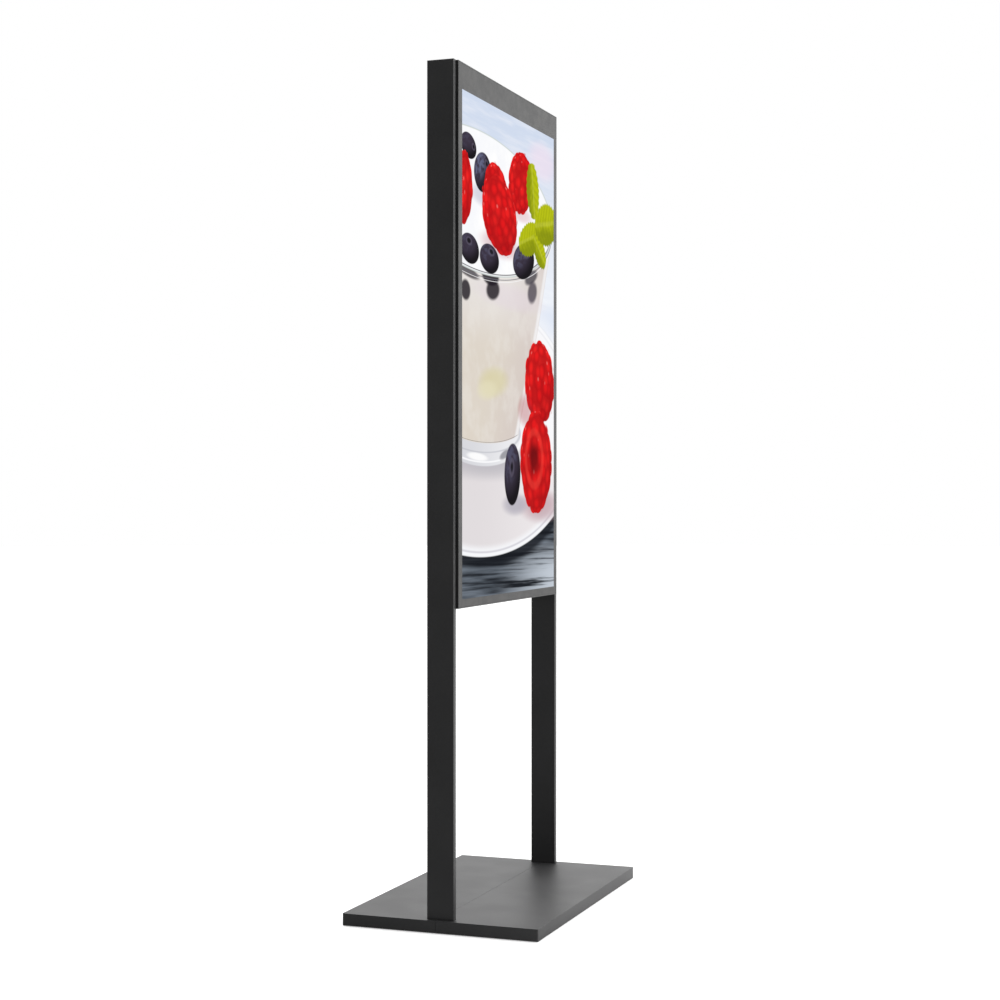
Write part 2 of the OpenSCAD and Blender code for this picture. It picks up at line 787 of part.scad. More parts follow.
module wire_harness() {
    color("#232323") {
        // Mains: switch to inlet, inlet to power board
        lead([[switch_x, 14, io_z + 9.4], [switch_x, 14, io_z + 30], [-53, 14, io_z + 30], [-53, 14, io_z + 9.9]], 4);
        lead([[-66, 14, io_z + 9.9], [-66, 14, 765], [-66, 0.7, 772], [-158, 0.7, 782], [-158, 8.6, 797],
            [-158, 8.6, 814]], 5);
        // Power board to driver board and to media player
        lead([[-105, 8.6, 920], [-105, 8.6, 950], [-105, 0.7, 965], [-150, 0.7, 965], [-150, 0.7, 1345],
            [-10, 0.7, 1345], [-10, 0.7, 1380], [-10, 7.4, 1394], [-10, 7.4, 1406]], 5);
        lead([[-90, 8.6, 920], [-90, 8.6, 955], [-90, 0.7, 975], [-138, 0.7, 975], [-138, 0.7, 1320],
            [-40, 0.7, 1320], [-40, 0.7, 1305], [-40, 8, 1290], [-40, 8, 1270]], 5);
        // Media player to touch controller and to the network socket
        lead([[10, 8, 1270], [10, 8, 1290], [10, 0.4, 1310], [160, 0.4, 1310], [160, 0.4, 915],
            [160, 6.9, 904], [160, 6.9, 894]], 4);
        lead([[38, 6.4, io_z + 12], [38, 6.4, io_z + 20], [38, 0.2, io_z + 35], [120, 0.2, 775],
            [120, 0.2, 1292], [40, 0.2, 1292], [40, 8, 1284], [40, 8, 1270]], 3.6);
        // Loudspeakers and keys to driver board
        lead([[-275, 6, 793], [-275, 6, 803], [-275, 0.2, 815], [-275, 0.2, 1450], [-125, 0.2, 1450],
            [-118, 7.6, 1450], [-106, 7.6, 1450]], 3.6);
        lead([[275, 6, 793], [275, 6, 803], [275, 0.2, 815], [275, 0.2, 1452], [125, 0.2, 1452],
            [113, 7.6, 1452], [82, 7.6, 1452]], 3.6);
        lead([[170, 18.8, io_z + 8], [170, 18.8, io_z + 22], [170, 0, io_z + 40], [180, 0, 830], [180, 0, 1437],
            [125, 0, 1437], [113, 7.6, 1437], [82, 7.6, 1437]], 3);
    }
}

// Cradle for the media player on the back of the backlight pan
module player_bracket() {
    color("#a8a9ab") {
        box([player[0] - 5, tray_y1, player[2] - 8], [player[1] + 5, tray_y1 + 1.5, player[3] + 12]);
        for (x = [player[0] - 5, player[1] + 3.5])
            box([x, tray_y1, player[2] + 10], [x + 1.5, 12, player[3] - 10]);
    }
}

module media_player() {
    y0 = tray_y1 + 1.5;
    xc = (player[0] + player[1]) / 2;
    color("#2a2b2d") difference() {
        union() {
            translate([xc, 0, (player[2] + player[3]) / 2]) along_y(y0, player_y1)
                rrect(player[1] - player[0], player[3] - player[2], 4);
            for (i = [-5 : 5])
                box([xc + i * 12 - 1, player_y1, player[2] + 25], [xc + i * 12 + 1, player_y1 + 2, player[3] - 15]);
        }
        // Round supply jack, two flat bus sockets and one video socket
        translate([player[0] + 18, 8, player[2] - e]) difference() {
            cylinder(h = 9, d = 6.4);
            translate([0, 0, 1]) cylinder(h = 9, d = 2.5);
        }
        for (x = [50, 72]) translate([player[0] + x, 8, player[2] - e]) difference() {
            translate([-6.3, -2.3, 0]) cube([12.6, 4.6, 10]);
            translate([-5, -0.4, 1]) cube([10, 1.9, 10]);
        }
        translate([player[0] + 104, 8, player[2] - e]) difference() {
            translate([-7, -2.2, 0]) cube([14, 4.4, 10]);
            translate([-5.5, -0.6, 1]) cube([11, 1.4, 10]);
        }
    }
}

// ------------------------------------------------------- sockets and keys

module power_inlet() {
    y1 = rear_y1 + 2;
    color("#181818") translate([inlet_x, 0, io_z]) {
        difference() {
            union() {
                along_y(rear_y1, y1) rrect(31, 23, 2);
                along_y(8, rear_y1) square([27.4, 19.8], center = true);
            }
            along_y(y1 - 18, y1 + 1)
                polygon([[-12.1, -8.1], [12.1, -8.1], [12.1, 3.6], [7.6, 8.1], [-7.6, 8.1], [-12.1, 3.6]]);
        }
        for (p = [[-7, -2], [7, -2], [0, 3]])
            box([p[0] - 1, 1.5, p[1] - 2], [p[0] + 1, y1 - 3, p[1] + 2]);
    }
}

module switch_housing() {
    y1 = rear_y1 + 2;
    color("#181818") translate([switch_x, 0, io_z]) {
        difference() {
            union() {
                along_y(rear_y1, y1) rrect(15, 21, 1.5);
                along_y(10, rear_y1) square([12.8, 18.8], center = true);
            }
            along_y(18, y1 + 1) square([11, 17], center = true);
            rod_x(-8, 8, y1 - 4, 0, 3.2);
        }
        for (z = [-6, 0, 6]) box([-2.4, 2, z - 0.4], [2.4, 10, z + 0.4]);
    }
}

// Rocker, stored tipped to its lower position
module switch_rocker() {
    color("#101010") translate([switch_x, rear_y1 - 2, io_z]) rotate([rocker_tilt, 0, 0]) {
        along_x(-5.2, 5.2) polygon([[-5, -5], [5.2, -7.4], [3.6, 0], [5.2, 7.4], [-5, 5]]);
        rod_x(-6.2, 6.2, 0, 0, 3);
    }
}

// Network socket and two stacked bus sockets on a shared board
module data_sockets() {
    y1 = rear_y1 + 0.5;
    color("#9a9ca0") {
        box([lan_x - 11, 5.4, io_z - 12], [usb_x + 11, 7, io_z + 12]);
        difference() {
            box([lan_x - 8, 7, io_z - 6.75], [lan_x + 8, y1, io_z + 6.75]);
            box([lan_x - 5.9, y1 - 13, io_z - 3.2], [lan_x + 5.9, y1 + 1, io_z + 4.4]);
            box([lan_x - 3, y1 - 13, io_z - 5.4], [lan_x + 3, y1 + 1, io_z]);
        }
        box([lan_x - 4, y1 - 13.5, io_z + 2.6], [lan_x + 4, y1 - 4, io_z + 4.5]);
        difference() {
            box([usb_x - 7, 7, io_z - 8], [usb_x + 7, y1, io_z + 8]);
            for (z = [-4, 4]) box([usb_x - 6.2, y1 - 12, io_z + z - 2.4], [usb_x + 6.2, y1 + 1, io_z + z + 2.4]);
        }
        for (z = [-4, 4]) box([usb_x - 5.2, y1 - 13, io_z + z - 0.4], [usb_x + 5.2, y1 - 1, io_z + z + 1.4]);
    }
}

// Board with four push switches, held off the rear sheet by two pillars
module key_board() {
    x0 = key_x0 - 12;
    x1 = key_x0 + 3 * key_pitch + 12;
    color("#1f6b45") {
        box([x0, 18, io_z - 8], [x1, 19.6, io_z + 8]);
        for (x = [x0 + 3, x1 - 3]) rod_y(x, 19.6, rear_y, io_z, 4.5);
        for (i = [0 : 3]) translate([key_x0 + i * key_pitch, 0, io_z]) {
            box([-3, 19.6, -3], [3, 22.4, 3]);
            rod_y(0, 22.4, 23.1, 0, 3.4);
        }
    }
}

// Control key with a collar behind the sheet
module key(i) {
    color("#202122") translate([key_x0 + i * key_pitch, 0, io_z]) {
        rod_y(0, 26.7 - e, rear_y1 + 1.7, 0, 8);
        rod_y(0, 25.6, 26.7, 0, 10.6);
        rod_y(0, 24.4, 25.6 + e, 0, 4);
    }
}

module key_power() {
    key(0);
}

module key_up() {
    key(1);
}

module key_down() {
    key(2);
}

module key_menu() {
    key(3);
}

// ----------------------------------------------------------- service door

// Hinge leaf for one side, drawn for the door side: knuckle spans and plate
module leaf(spans, y0, bore) {
    t = 1.5;
    reach = hinge_r + 0.4;
    difference() {
        union() {
            box([reach, y0 - hinge_y, -hinge_len / 2], [reach + 18, y0 - hinge_y + t, hinge_len / 2]);
            for (k = spans) {
                translate([0, 0, k[0]]) cylinder(h = k[1] - k[0], r = hinge_r);
                box([1, y0 - hinge_y, k[0]], [reach + e, y0 - hinge_y + t, k[1]]);
            }
            // Rivets through the sheet
            for (z = [-12, 12]) {
                rod_y(14, y0 - hinge_y - sheet_t, y0 - hinge_y + t, z, 3);
                rod_y(14, y0 - hinge_y + t, y0 - hinge_y + t + 1, z, 5.5);
                rod_y(14, y0 - hinge_y - sheet_t - 1, y0 - hinge_y - sheet_t, z, 5);
            }
        }
        translate([0, 0, -hinge_len]) cylinder(h = 2 * hinge_len, d = bore);
    }
}

module hinge_leaves() {
    color("#2b2c2e") for (z = hinge_z)
        translate([hinge_x, hinge_y, z]) mirror([1, 0, 0])
            leaf([[-hinge_len / 2, -7], [7, hinge_len / 2]], rear_y1, pin_d + 0.04);
}

module door_leaves() {
    color("#2b2c2e") for (z = hinge_z)
        translate([hinge_x, hinge_y, z])
            leaf([[-6.7, 6.7]], door_y + sheet_t, pin_d + 0.1);
}

module hinge_pins() {
    color("#8b8d90") for (z = hinge_z) translate([hinge_x, hinge_y, z]) {
        translate([0, 0, -hinge_len / 2]) cylinder(h = hinge_len, d = pin_d);
        for (s = [-1, 1]) translate([0, 0, s * (hinge_len / 2 + 0.5) - 0.5]) cylinder(h = 1, d = 4.6);
    }
}

module door_panel() {
    hw = door_w / 2 - door_gap;
    color("#333436") difference() {
        union() {
            along_y(door_y, door_y + sheet_t) rect(-hw, hw, door_z0 + 0.8, door_z1 - 0.8);
            along_y(return_y, door_y)
                ring(-hw, hw, door_z0 + bar_in + 1, door_z1 - bar_in - 1, sheet_t);
        }
        rod_y(lock_x, door_y - 1, door_y + sheet_t + 1, lock_z, 16.3);
        for (z = hinge_z, d = [-12, 12])
            rod_y(hinge_x + 14, door_y - 1, door_y + sheet_t + 1, z + d, 3.1);
    }
}

module lock_body() {
    y1 = door_y + sheet_t;
    color("#b9bbbe") translate([lock_x, 0, lock_z]) difference() {
        union() {
            rod_y(0, 19.5, y1, 0, 16);
            rod_y(0, y1, y1 + 2.5, 0, 21);
            along_y(door_y - 3.5, door_y) hexagon(20);
        }
        rod_y(0, 10, 40, 0, 11.2);
    }
}

module lock_cylinder() {
    color("#c9cbce") translate([lock_x, 0, lock_z]) difference() {
        union() {
            rod_y(0, 19.3, door_y + sheet_t + 2.1, 0, 11);
            along_y(17.1, 19.3) square(7, center = true);
        }
        box([-0.6, door_y + sheet_t - 4, -3.6], [0.6, 40, 3.6]);
    }
}

// Cam, stored hanging straight down: unlocked
module lock_cam() {
    color("#a8a9ab") translate([lock_x, 0, lock_z]) along_y(17.1, 19.1) difference() {
        union() {
            circle(d = 16);
            rect(-7, 7, -cam_len + 7, 0);
            translate([0, -cam_len + 7]) circle(r = 7);
        }
        square(7.1, center = true);
    }
}

module cam_screw() {
    color("#8b8d90") translate([lock_x, 0, lock_z]) difference() {
        rod_y(0, 15.1, 17.1, 0, 10);
        along_y(15, 16.4) hexagon(5);
    }
}

// ------------------------------------------------------------------ output

base_cover_front();
base_cover_rear();
ballast_plate();
base_pads();
cover_screws();
post_feet();
foot_bolts();
post_left();
post_right();
post_caps();
rivet_nuts();
mount_plates();
mount_bolts();
rail_left();
rail_right();
rail_top();
rail_bottom();
corner_brackets();
front_glass();
border_print();
glass_tape();
touch_film();
lcd_panel();
panel_holder();
diffuser_plate();
backlight_tray();
led_bars();
small_screws();
crossbars();
rear_cover_upper();
rear_cover_lower();
side_panel_left();
side_panel_right();
rear_screws();
power_board();
driver_board();
touch_controller();
standoffs();
speakers();
wire_harness();
player_bracket();
media_player();
power_inlet();
switch_housing();
switch_rocker();
data_sockets();
key_board();
key_power();
key_up();
key_down();
key_menu();
hinge_leaves();
hinge_pins();
door_panel();
door_leaves();
lock_body();
lock_cylinder();
lock_cam();
cam_screw();
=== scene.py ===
"""Looks for the touchscreen kiosk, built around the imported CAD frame.

Everything is in metres in the CAD's own frame: +Z is up, -Y is the side the visitor faces, and the
origin is the middle of the base on the floor. Materials work in millimetres of object space.
"""

import math

import bmesh
import bpy
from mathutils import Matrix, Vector


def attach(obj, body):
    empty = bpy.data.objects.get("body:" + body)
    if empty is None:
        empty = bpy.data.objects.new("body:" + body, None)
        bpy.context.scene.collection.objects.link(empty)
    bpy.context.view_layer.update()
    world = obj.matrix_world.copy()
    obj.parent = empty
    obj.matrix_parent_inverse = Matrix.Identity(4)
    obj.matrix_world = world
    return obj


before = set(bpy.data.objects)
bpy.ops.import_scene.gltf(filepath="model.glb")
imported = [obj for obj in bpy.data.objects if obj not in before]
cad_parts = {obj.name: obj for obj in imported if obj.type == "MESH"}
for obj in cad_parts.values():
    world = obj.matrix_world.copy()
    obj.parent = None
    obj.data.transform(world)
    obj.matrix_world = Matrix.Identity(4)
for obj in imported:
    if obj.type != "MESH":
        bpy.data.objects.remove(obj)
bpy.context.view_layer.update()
scene = bpy.context.scene
MM = 0.001

# Places on the CAD frame that the looks refer to, in millimetres
BOARD_FACE = 4.62  # Y: just past the boards' rear faces, where the parts on them stand
CAPACITORS = [(-206, 830), (-206, 908), (-184, 836), (-100, 830), (-100, 855), (-100, 880), (-160, 918)]
SHEET_INSIDE = 26.9  # Y: just inside the rear sheets
UPPER_VENTS = (0, 1655)  # X, Z of a vent field's middle
UPPER_FILTER = (462, 160)  # width and height of the filter that covers it
LOWER_VENTS = (165, 880)
LOWER_FILTER = (190, 108)
SPEAKER = (245, 770)
SPEAKER_FRONT = 22.05  # Y
CROSSBAR_FACE = 27.0  # Y: the bars that the door closes against
CROSSBAR_LIPS = (1007.0, 1293.0)  # Z
DOOR_SEAL = (226, 8)  # length and width of the foam strip on each lip
PLAYER_TOP = 1270.0  # Z
PLAYER_LEADS = ((-40, 12, 8, 5.0), (10, 13, 7, 4.0), (40, 11, 7, 3.6))  # X, plug size, lead diameter
LEAD_Y = 8
PLAYER_LAMP = (-92.0, 17.0, 1130.0)
PICTURE_LEFT = 302.0  # lit area's edges, from the middle of the display
PICTURE_TOP = 1771.0
PICTURE_HEIGHT = 1073.8


# ------------------------------------------------------------------ camera


def make_camera():
    """Level camera at about half the kiosk's height, on the visitor's left, almost along the picture."""
    data = bpy.data.cameras.new("camera")
    data.sensor_width = 36.0
    data.lens = 68.506
    data.shift_y = -0.00537
    data.clip_start = 0.05
    data.clip_end = 200.0
    obj = bpy.data.objects.new("camera", data)
    obj.location = (-4.0325, -1.4923, 0.9174)
    obj.rotation_euler = (math.radians(90), 0, math.radians(-69.8))
    scene.collection.objects.link(obj)
    scene.camera = obj


make_camera()


# ------------------------------------------------------------ node helpers


def rgb(r, g, b):
    """Linear colour from three display values of 0 to 255."""
    shown = [c / 255 for c in (r, g, b)]
    linear = [c / 12.92 if c <= 0.04045 else ((c + 0.055) / 1.055) ** 2.4 for c in shown]
    return tuple(linear) + (1.0,)


class Nodes:
    """A material's node tree, with short names for the nodes that the materials here use."""

    def __init__(self, name):
        self.mat = bpy.data.materials.new(name)
        self.mat.use_nodes = True
        self.tree = self.mat.node_tree
        self.tree.nodes.clear()
        self.out = self.tree.nodes.new("ShaderNodeOutputMaterial")

    def feed(self, socket, value):
        if isinstance(value, bpy.types.NodeSocket):
            self.tree.links.new(value, socket)
        elif value is not None:
            if isinstance(value, (tuple, list)) and len(value) == 4 and socket.type == "VECTOR":
                value = value[:3]
            socket.default_value = value

    def new(self, kind, **settings):
        node = self.tree.nodes.new("ShaderNode" + kind)
        for key, value in settings.items():
            setattr(node, key, value)
        return node

    # Coordinates

    def mm(self):
        """Object position in millimetres."""
        return self.vec("SCALE", self.new("TexCoord").outputs["Object"], scale=1000.0)

    def vec(self, op, a, b=None, scale=None):
        node = self.new("VectorMath", operation=op)
        self.feed(node.inputs[0], a)
        if b is not None:
            self.feed(node.inputs[1], b)
        if scale is not None:
            self.feed(node.inputs["Scale"], scale)
        return node.outputs["Value" if op in ("DOT_PRODUCT", "LENGTH", "DISTANCE") else "Vector"]

    def split(self, v):
        node = self.new("SeparateXYZ")
        self.feed(node.inputs[0], v)
        return node.outputs[0], node.outputs[1], node.outputs[2]

    def join(self, x, y, z):
        node = self.new("CombineXYZ")
        for socket, value in zip(node.inputs, (x, y, z)):
            self.feed(socket, value)
        return node.outputs[0]

    # Numbers

    def math(self, op, a, b=None, c=None):
        node = self.new("Math", operation=op)
        for socket, value in zip(node.inputs, (a, b, c)):
            self.feed(socket, value)
        return node.outputs[0]

    def add(self, a, b):
        return self.math("ADD", a, b)

    def sub(self, a, b):
        return self.math("SUBTRACT", a, b)

    def mul(self, a, b):
        return self.math("MULTIPLY", a, b)

    def ramp(self, value, lo, hi, to_lo=0.0, to_hi=1.0):
        """value from lo to hi becomes to_lo to to_hi, smoothly, and stays there outside."""
        node = self.new("MapRange", interpolation_type="SMOOTHSTEP")
        for socket, number in zip(node.inputs, (value, lo, hi, to_lo, to_hi)):
            self.feed(socket, number)
        return node.outputs[0]

    # Colours

    def mix(self, factor, a, b):
        node = self.new("Mix", data_type="RGBA")
        self.feed(node.inputs[0], factor)
        self.feed(node.inputs[6], a)
        self.feed(node.inputs[7], b)
        return node.outputs[2]

    def grey(self, colour):
        node = self.new("RGBToBW")
        self.feed(node.inputs[0], colour)
        return node.outputs[0]

    # Textures

    def noise(self, v, scale, detail=2.0, rough=0.5, distortion=0.0):
        node = self.new("TexNoise")
        self.feed(node.inputs["Vector"], v)
        node.inputs["Scale"].default_value = scale
        node.inputs["Detail"].default_value = detail
        node.inputs["Roughness"].default_value = rough
        node.inputs["Distortion"].default_value = distortion
        return node.outputs[0]

    def cells(self, v, scale, random=1.0):
        """Voronoi cells: distance and a random colour for each cell."""
        node = self.new("TexVoronoi")
        self.feed(node.inputs["Vector"], v)
        node.inputs["Scale"].default_value = scale
        node.inputs["Randomness"].default_value = random
        return node.outputs["Distance"], node.outputs["Color"]

    # Surface detail

    def bump(self, height, depth, strength=1.0, normal=None):
        """Normal of a relief whose height runs from 0 to 1 over depth metres."""
        node = self.new("Bump")
        node.inputs["Strength"].default_value = strength
        node.inputs["Distance"].default_value = depth
        self.feed(node.inputs["Height"], height)
        if normal is not None:
            self.feed(node.inputs["Normal"], normal)
        return node.outputs[0]

    def edges(self, radius):
        """0 on flat faces, 1 on sharp outer edges, and a normal that rounds them."""
        node = self.new("Bevel", samples=4)
        node.inputs["Radius"].default_value = radius
        flat = self.new("NewGeometry").outputs["Normal"]
        return self.ramp(self.vec("DOT_PRODUCT", node.outputs[0], flat), 0.985, 0.80), node.outputs[0]

    # Output

    def shader(self, colour, rough, normal=None, **sockets):
        node = self.new("BsdfPrincipled")
        self.feed(node.inputs["Base Color"], colour)
        self.feed(node.inputs["Roughness"], rough)
        self.feed(node.inputs["Normal"], normal)
        for key, value in sockets.items():
            self.feed(node.inputs[key.replace("_", " ")], value)
        return node.outputs[0]

    def surface(self, colour, rough, normal=None, **sockets):
        self.feed(self.out.inputs[0], self.shader(colour, rough, normal, **sockets))
        return self.mat

    def either(self, factor, a, b):
        """Shader a where factor is 0, and b where it is 1, to the output."""
        node = self.new("MixShader")
        for socket, value in zip(node.inputs, (factor, a, b)):
            self.feed(socket, value)
        self.feed(self.out.inputs[0], node.outputs[0])
        return self.mat


# --------------------------------------------------------- coats and metals


def powder_coat(name, dark, light, rough, grain=1.4, depth=0.00003, round_off=0.0008, wear=0.35):
    """Matt powder coat: fine pebbled grain, slow cloudy tone, and slightly rubbed edges."""
    t = Nodes(name)
    p = t.mm()
    cloud = t.noise(p, 0.011, 2, 0.5)
    speck = t.noise(p, 0.35, 3, 0.6)
    pebble = t.noise(p, grain, 1, 0.4)
    edge, rounded = t.edges(round_off)
    rub = t.mul(edge, t.ramp(t.noise(p, 0.06, 4, 0.65), 0.45, 0.68, 0.0, wear))
    tone = t.add(t.mul(cloud, 0.55), t.mul(speck, 0.45))
    colour = t.mix(t.ramp(tone, 0.15, 0.85), rgb(*dark), rgb(*light))
    colour = t.mix(rub, colour, rgb(96, 97, 99))
    gloss = t.add(t.ramp(cloud, 0.3, 0.7, rough - 0.02, rough + 0.02), t.mul(rub, -0.25))
    return t.surface(colour, gloss, t.bump(pebble, depth, 0.6, rounded), IOR=1.5)


def plated(name, base, tint, rough, spangle=0.0, brush=None, depth=0.00001):
    """Plated or bare metal: drifting tint, fine scratches, and zinc spangle where asked for."""
    t = Nodes(name)
    p = t.mm()
    drift = t.noise(p, 0.05, 4, 0.6)
    fine = t.noise(p, 2.4, 2, 0.5)
    stretch = t.vec("MULTIPLY", p, brush or (0.25, 0.25, 3.0))
    lines = t.noise(stretch, 1.2, 2, 0.6)
    colour = t.mix(t.ramp(drift, 0.35, 0.68), rgb(*base), rgb(*tint))
    gloss = t.add(t.ramp(lines, 0.3, 0.7, rough - 0.06, rough + 0.08), t.mul(fine, 0.04))
    if spangle:
        _, cell = t.cells(p, 0.16)
        grey = t.grey(cell)
        colour = t.mix(t.mul(grey, spangle), colour, rgb(225, 228, 232))
        gloss = t.add(gloss, t.mul(grey, 0.12 * spangle))
    _, rounded = t.edges(0.0003)
    return t.surface(colour, gloss, t.bump(lines, depth, 0.5, rounded), Metallic=1.0)


def moulded(name, dark, light, rough, grain=2.2, depth=0.00002):
    """Moulded plastic or rubber with a fine spark-eroded grain."""
    t = Nodes(name)
    p = t.mm()
    grains, _ = t.cells(p, grain)
    drift = t.noise(p, 0.09, 3, 0.6)
    colour = t.mix(t.ramp(drift, 0.35, 0.65), rgb(*dark), rgb(*light))
    gloss = t.ramp(t.noise(p, 0.6, 2), 0.3, 0.7, rough - 0.05, rough + 0.05)
    _, rounded = t.edges(0.0004)
    return t.surface(colour, gloss, t.bump(grains, depth, 0.7, rounded), IOR=1.5)


def foam():
    """Closed-cell tape: small round pores in a black sheet."""
    t = Nodes("foam")
    p = t.mm()
    pores, _ = t.cells(p, 2.6)
    colour = t.mix(t.ramp(pores, 0.1, 0.5), rgb(12, 12, 13), rgb(38, 38, 40))
    return t.surface(colour, t.ramp(pores, 0.0, 0.6, 0.95, 0.8), t.bump(pores, 0.0002, 0.8))


def filter_mesh():
    """Black woven filter cloth in its frame: crossing threads with dust caught in places."""
    t = Nodes("filter_mesh")
    p = t.mm()
    x, _, z = t.split(p)
    warp = t.math("PINGPONG", t.mul(x, 0.9), 0.5)
    weft = t.math("PINGPONG", t.mul(z, 0.9), 0.5)
    thread = t.math("MAXIMUM", warp, weft)
    dust = t.noise(p, 0.05, 4, 0.65)
    colour = t.mix(t.ramp(thread, 0.15, 0.45), rgb(8, 8, 8), rgb(34, 34, 35))
    colour = t.mix(t.ramp(dust, 0.5, 0.8, 0.0, 0.35), colour, rgb(92, 88, 82))
    return t.surface(colour, t.ramp(dust, 0.3, 0.8, 0.62, 0.85), t.bump(thread, 0.0002, 0.8))


def status_lamp():
    """Small green lens, faintly lit from within and brighter towards its middle."""
    t = Nodes("status_lamp")
    p = t.mm()
    x, _, z = t.split(p)
    off = t.vec("DISTANCE", t.join(x, z, 0.0), (PLAYER_LAMP[0], PLAYER_LAMP[2], 0.0))
    glow = t.add(t.ramp(off, 1.9, 0.3), t.mul(t.noise(p, 3.0, 2), 0.1))
    colour = t.mix(glow, rgb(12, 70, 30), rgb(120, 230, 140))
    ring = t.ramp(off, 1.62, 1.68)
    colour = t.mix(ring, colour, rgb(150, 152, 154))
    light = t.mix(t.ramp(off, 1.66, 1.5), (0, 0, 0, 1), colour)
    gloss = t.ramp(t.noise(p, 1.5, 2), 0.3, 0.7, 0.12, 0.2)
    return t.surface(colour, gloss, Emission_Color=light, Emission_Strength=0.7)


def wire():
    """Soft black lead: faint lengthwise drawing marks and handling dust."""
    t = Nodes("wire")
    p = t.mm()
    marks = t.noise(t.vec("MULTIPLY", p, (2.0, 2.0, 0.15)), 1.0, 2)
    dust = t.noise(p, 0.2, 3, 0.7)
    colour = t.mix(t.ramp(dust, 0.45, 0.75), rgb(26, 26, 27), rgb(62, 61, 60))
    return t.surface(colour, t.ramp(marks, 0.3, 0.7, 0.42, 0.56), t.bump(marks, 0.00003, 0.5))


# -------------------------------------------------------- glass and borders


def clear_film():
    """Clear touch film: all but invisible, with a faint gloss that grows towards grazing angles."""
    t = Nodes("film")
    smear = t.noise(t.mm(), 0.02, 4, 0.6)
    fresnel = t.new("Fresnel")
    fresnel.inputs["IOR"].default_value = 1.02
    gloss = t.new("BsdfGlossy")
    t.feed(gloss.inputs["Roughness"], t.ramp(smear, 0.3, 0.75, 0.10, 0.16))
    clear = t.new("BsdfTransparent")
    clear.inputs["Color"].default_value = (0.985, 0.99, 0.988, 1)
    outside = t.sub(1.0, t.new("NewGeometry").outputs["Backfacing"])
    return t.either(t.mul(fresnel.outputs[0], outside), clear.outputs[0], gloss.outputs[0])


def ink(t):
    """Shader of the matt black screen print, with slow cloudy tone and a fine printing mesh."""
    p = t.mm()
    cloud = t.noise(p, 0.012, 3, 0.6)
    blotch = t.noise(p, 0.045, 3, 0.6)
    mesh, _ = t.cells(p, 2.0, random=0.35)
    tone = t.add(t.mul(cloud, 0.45), t.mul(blotch, 0.55))
    colour = t.mix(t.ramp(tone, 0.36, 0.64), rgb(28, 28, 29), rgb(38, 37, 36))
    gloss = t.ramp(tone, 0.36, 0.64, 0.51, 0.47)
    return t.shader(colour, gloss, t.bump(mesh, 0.00003, 0.5), Specular_IOR_Level=0.35)


def border_ink():
    t = Nodes("border_ink")
    t.feed(t.out.inputs[0], ink(t))
    return t.mat


# ----------------------------------------------------------- shown picture


